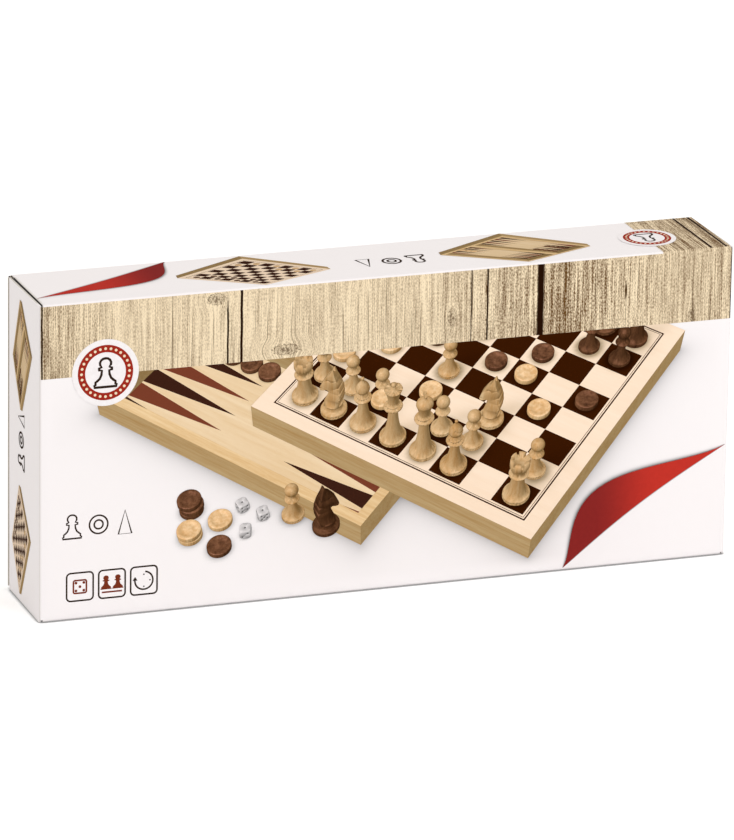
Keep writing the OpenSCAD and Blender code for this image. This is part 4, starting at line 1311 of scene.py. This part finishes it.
class GAMESBOX_OT_lozenges(BoxOperator):
    """Print the small boards on the top and the ends."""

    bl_idname = "gamesbox.lozenges"
    bl_label = "Small boards"

    def execute(self, context):
        inks = picture_inks()
        draught = pictured_piece("light_draughts", [v * MM for v in PIECE_SIZES["draughts"]], 0.15)
        # The squares of the small boards that hold a draught, by column and row
        filled_squares = ((0, 0), (2, 0), (4, 0), (6, 0), (1, 1), (3, 1), (5, 1),
                          (1, 7), (3, 7), (5, 7), (7, 7), (0, 6), (4, 6), (6, 6))
        # Rows of draughts in the small cases: how many, where the first lies along the case, the step to the
        # next and where they lie across it, in millimetres, and their ink
        rows = ((5, 186 - 12, -23, 22, DARK), (5, 186 - 12, -23, 22 + 60, DARK),
                (4, -186 + 13, 23, -100, LIGHT), (3, -186 + 13, 23, -45, DARK))
        # Each panel: its boards' scale, the angle above and the turn that they are seen at, and places
        for where, scale, height, turn, spots in (
                ("top", 0.162, 36, 130, ((0.070, 0.001, "board"), (-0.082, 0.0, "tray"))),
                ("left", 0.117, 32, 140, ((0.142, 0.002, "tray"), (0.036, 0.004, "board"))),
                ("right", 0.117, 32, 140, ((-0.142, 0.002, "tray"), (-0.036, 0.004, "board")))):
            turn = math.radians(turn)
            for u, v, kind in spots:
                life = StillLife((u, v), scale, math.radians(height), 1.6, tone=0.86)
                if kind == "board":
                    lay_board(life, (0, 0, 0), turn)
                    for i, (column, row) in enumerate(filled_squares):
                        place = (*turned(on(column, row), (0, 0, 0), turn), BOARD_THICK)
                        life.lay(varied(draught, i), place, 0.3 * i, DARK if row < 4 else LIGHT)
                else:
                    men = [(draught, ((x + step * i) * MM, y * MM), ink_number)
                           for count, x, step, y, ink_number in rows for i in range(count)]
                    lay_tray(life, (0, 0, 0), turn, men)
                life.finish(f"{where}_small_{kind}", where, inks)
        return {"FINISHED"}


def axes_matrix(right, up, back, spot):
    """A place with its own axes."""
    return Matrix([[right[i], up[i], back[i], spot[i]] for i in range(3)] + [[0, 0, 0, 1]])


class GAMESBOX_OT_studio(BoxOperator):
    """Set the camera, the lights and the floor."""

    bl_idname = "gamesbox.studio"
    bl_label = "Studio"

    def execute(self, context):
        settings = context.scene.studio
        self.set_camera(context, settings)
        self.set_lamps(context, settings)
        self.set_world(context, settings)
        self.set_floor(context)
        context.scene.view_settings.view_transform = "Standard"
        return {"FINISHED"}

    def set_camera(self, context, settings):
        side, fall = math.sin(settings.azimuth), math.cos(settings.azimuth)
        level = math.cos(settings.elevation)
        forward = Vector((side * level, fall * level, -math.sin(settings.elevation)))
        flat_right = forward.cross(Vector((0, 0, 1))).normalized()
        flat_up = flat_right.cross(forward)
        right = flat_right * math.cos(settings.roll) + flat_up * math.sin(settings.roll)
        up = flat_up * math.cos(settings.roll) - flat_right * math.sin(settings.roll)
        looked_at = Vector((-0.002423, 0, 0.088252))
        data = bpy.data.cameras.new("camera")
        data.lens, data.sensor_width = settings.lens, 36
        camera = bpy.data.objects.new("camera", data)
        camera.matrix_world = axes_matrix(right, up, -forward, looked_at - forward * settings.distance)
        context.scene.collection.objects.link(camera)
        context.scene.camera = camera

    def set_lamps(self, context, settings):
        for name, place, size, power in (
                ("key_softbox", (1.1, -2.6, 1.5), 1.6, settings.key_power),
                ("top_softbox", (-0.3, 0.2, 2.6), 1.8, settings.key_power * 0.08)):
            data = bpy.data.lights.new(name, "AREA")
            data.energy, data.size, data.color = power, size, (0.93, 0.97, 1.0)
            lamp = bpy.data.objects.new(name, data)
            lamp.location = place
            lamp.rotation_euler = (Vector((0, 0, 0.08)) - Vector(place)).to_track_quat("-Z", "Y").to_euler()
            context.scene.collection.objects.link(lamp)

    def set_world(self, context, settings):
        world = bpy.data.worlds.new("studio_white")
        world.use_nodes = True
        world.node_tree.nodes.clear()
        node = partial(add, world.node_tree)
        seen = node("LightPath").outputs["Is Camera Ray"]
        strength = node("MapRange", seen, {"To Min": settings.sky, "To Max": 1.0})
        # Light from all round is bounced off warm white walls
        walls_colour = node("Mix RGBA", seen, (1, 0.973, 0.938), (1, 1, 1))
        node("OutputWorld", {"Surface": node("Background", {"Color": walls_colour, "Strength": strength})})
        context.scene.world = world

    def set_floor(self, context):
        bpy.ops.object.select_all(action="DESELECT")
        bpy.ops.mesh.primitive_plane_add(size=14, location=(0, 0, -0.02 * MM))
        floor = context.object
        floor.name = "studio_floor"
        paper, node = new_finish("white_backdrop_paper")
        path = node("LightPath").outputs
        seen = node("Math MAXIMUM", path["Is Camera Ray"], path["Is Glossy Ray"])
        tooth = node("TexNoise", node("TexCoord").outputs["Object"], 900.0)
        pale = node("Mix RGBA", tooth, "#EDEDED", "#F2F2F2")
        # The shade where the carton meets the floor keeps its depth in the last 2.5 mm
        near = node("AmbientOcclusion", {"Distance": 2.5 * MM}, samples=16).outputs["AO"]
        near = node("MapRange", near, 0.5, 0.90, 0.40, 1.0)
        lit = node("BsdfDiffuse", {"Color": node("Mix RGBA", 1.0, pale, near, blend_type="MULTIPLY")})
        glow = node("Emission", {"Color": (1, 1, 1), "Strength": node("Math MULTIPLY", near, 0.35)})
        both = node("MixShader", seen, lit, node("AddShader", lit, glow))
        node("OutputMaterial", {"Surface": both})
        floor.data.materials.append(paper)


class GAMESBOX_PT_panel(bpy.types.Panel):
    """Lists the steps in the sidebar."""

    bl_label = "Games Compendium Box"
    bl_idname = "GAMESBOX_PT_panel"
    bl_space_type = "VIEW_3D"
    bl_region_type = "UI"
    bl_category = "Games Box"

    def draw(self, context):
        for operator in STEPS:
            self.layout.operator(operator.bl_idname)


SETTINGS = {
    "carton_print": CartonPrintSettings,
    "games_picture": GamesPictureSettings,
    "studio": StudioSettings,
}
STEPS = (
    GAMESBOX_OT_studio, GAMESBOX_OT_board, GAMESBOX_OT_case, GAMESBOX_OT_games, GAMESBOX_OT_planks,
    GAMESBOX_OT_picture, GAMESBOX_OT_roundels, GAMESBOX_OT_sweeps, GAMESBOX_OT_drawings, GAMESBOX_OT_lozenges,
)


def register():
    for cls in (*SETTINGS.values(), *STEPS, GAMESBOX_PT_panel):
        bpy.utils.register_class(cls)
    for name, cls in SETTINGS.items():
        setattr(bpy.types.Scene, name, bpy.props.PointerProperty(type=cls))


def unregister():
    for name in SETTINGS:
        delattr(bpy.types.Scene, name)
    for cls in reversed((*SETTINGS.values(), *STEPS, GAMESBOX_PT_panel)):
        bpy.utils.unregister_class(cls)


def main():
    register()
    for step in STEPS:
        group, action = step.bl_idname.split(".")
        getattr(getattr(bpy.ops, group), action)()


if __name__ == "__main__":
    main()
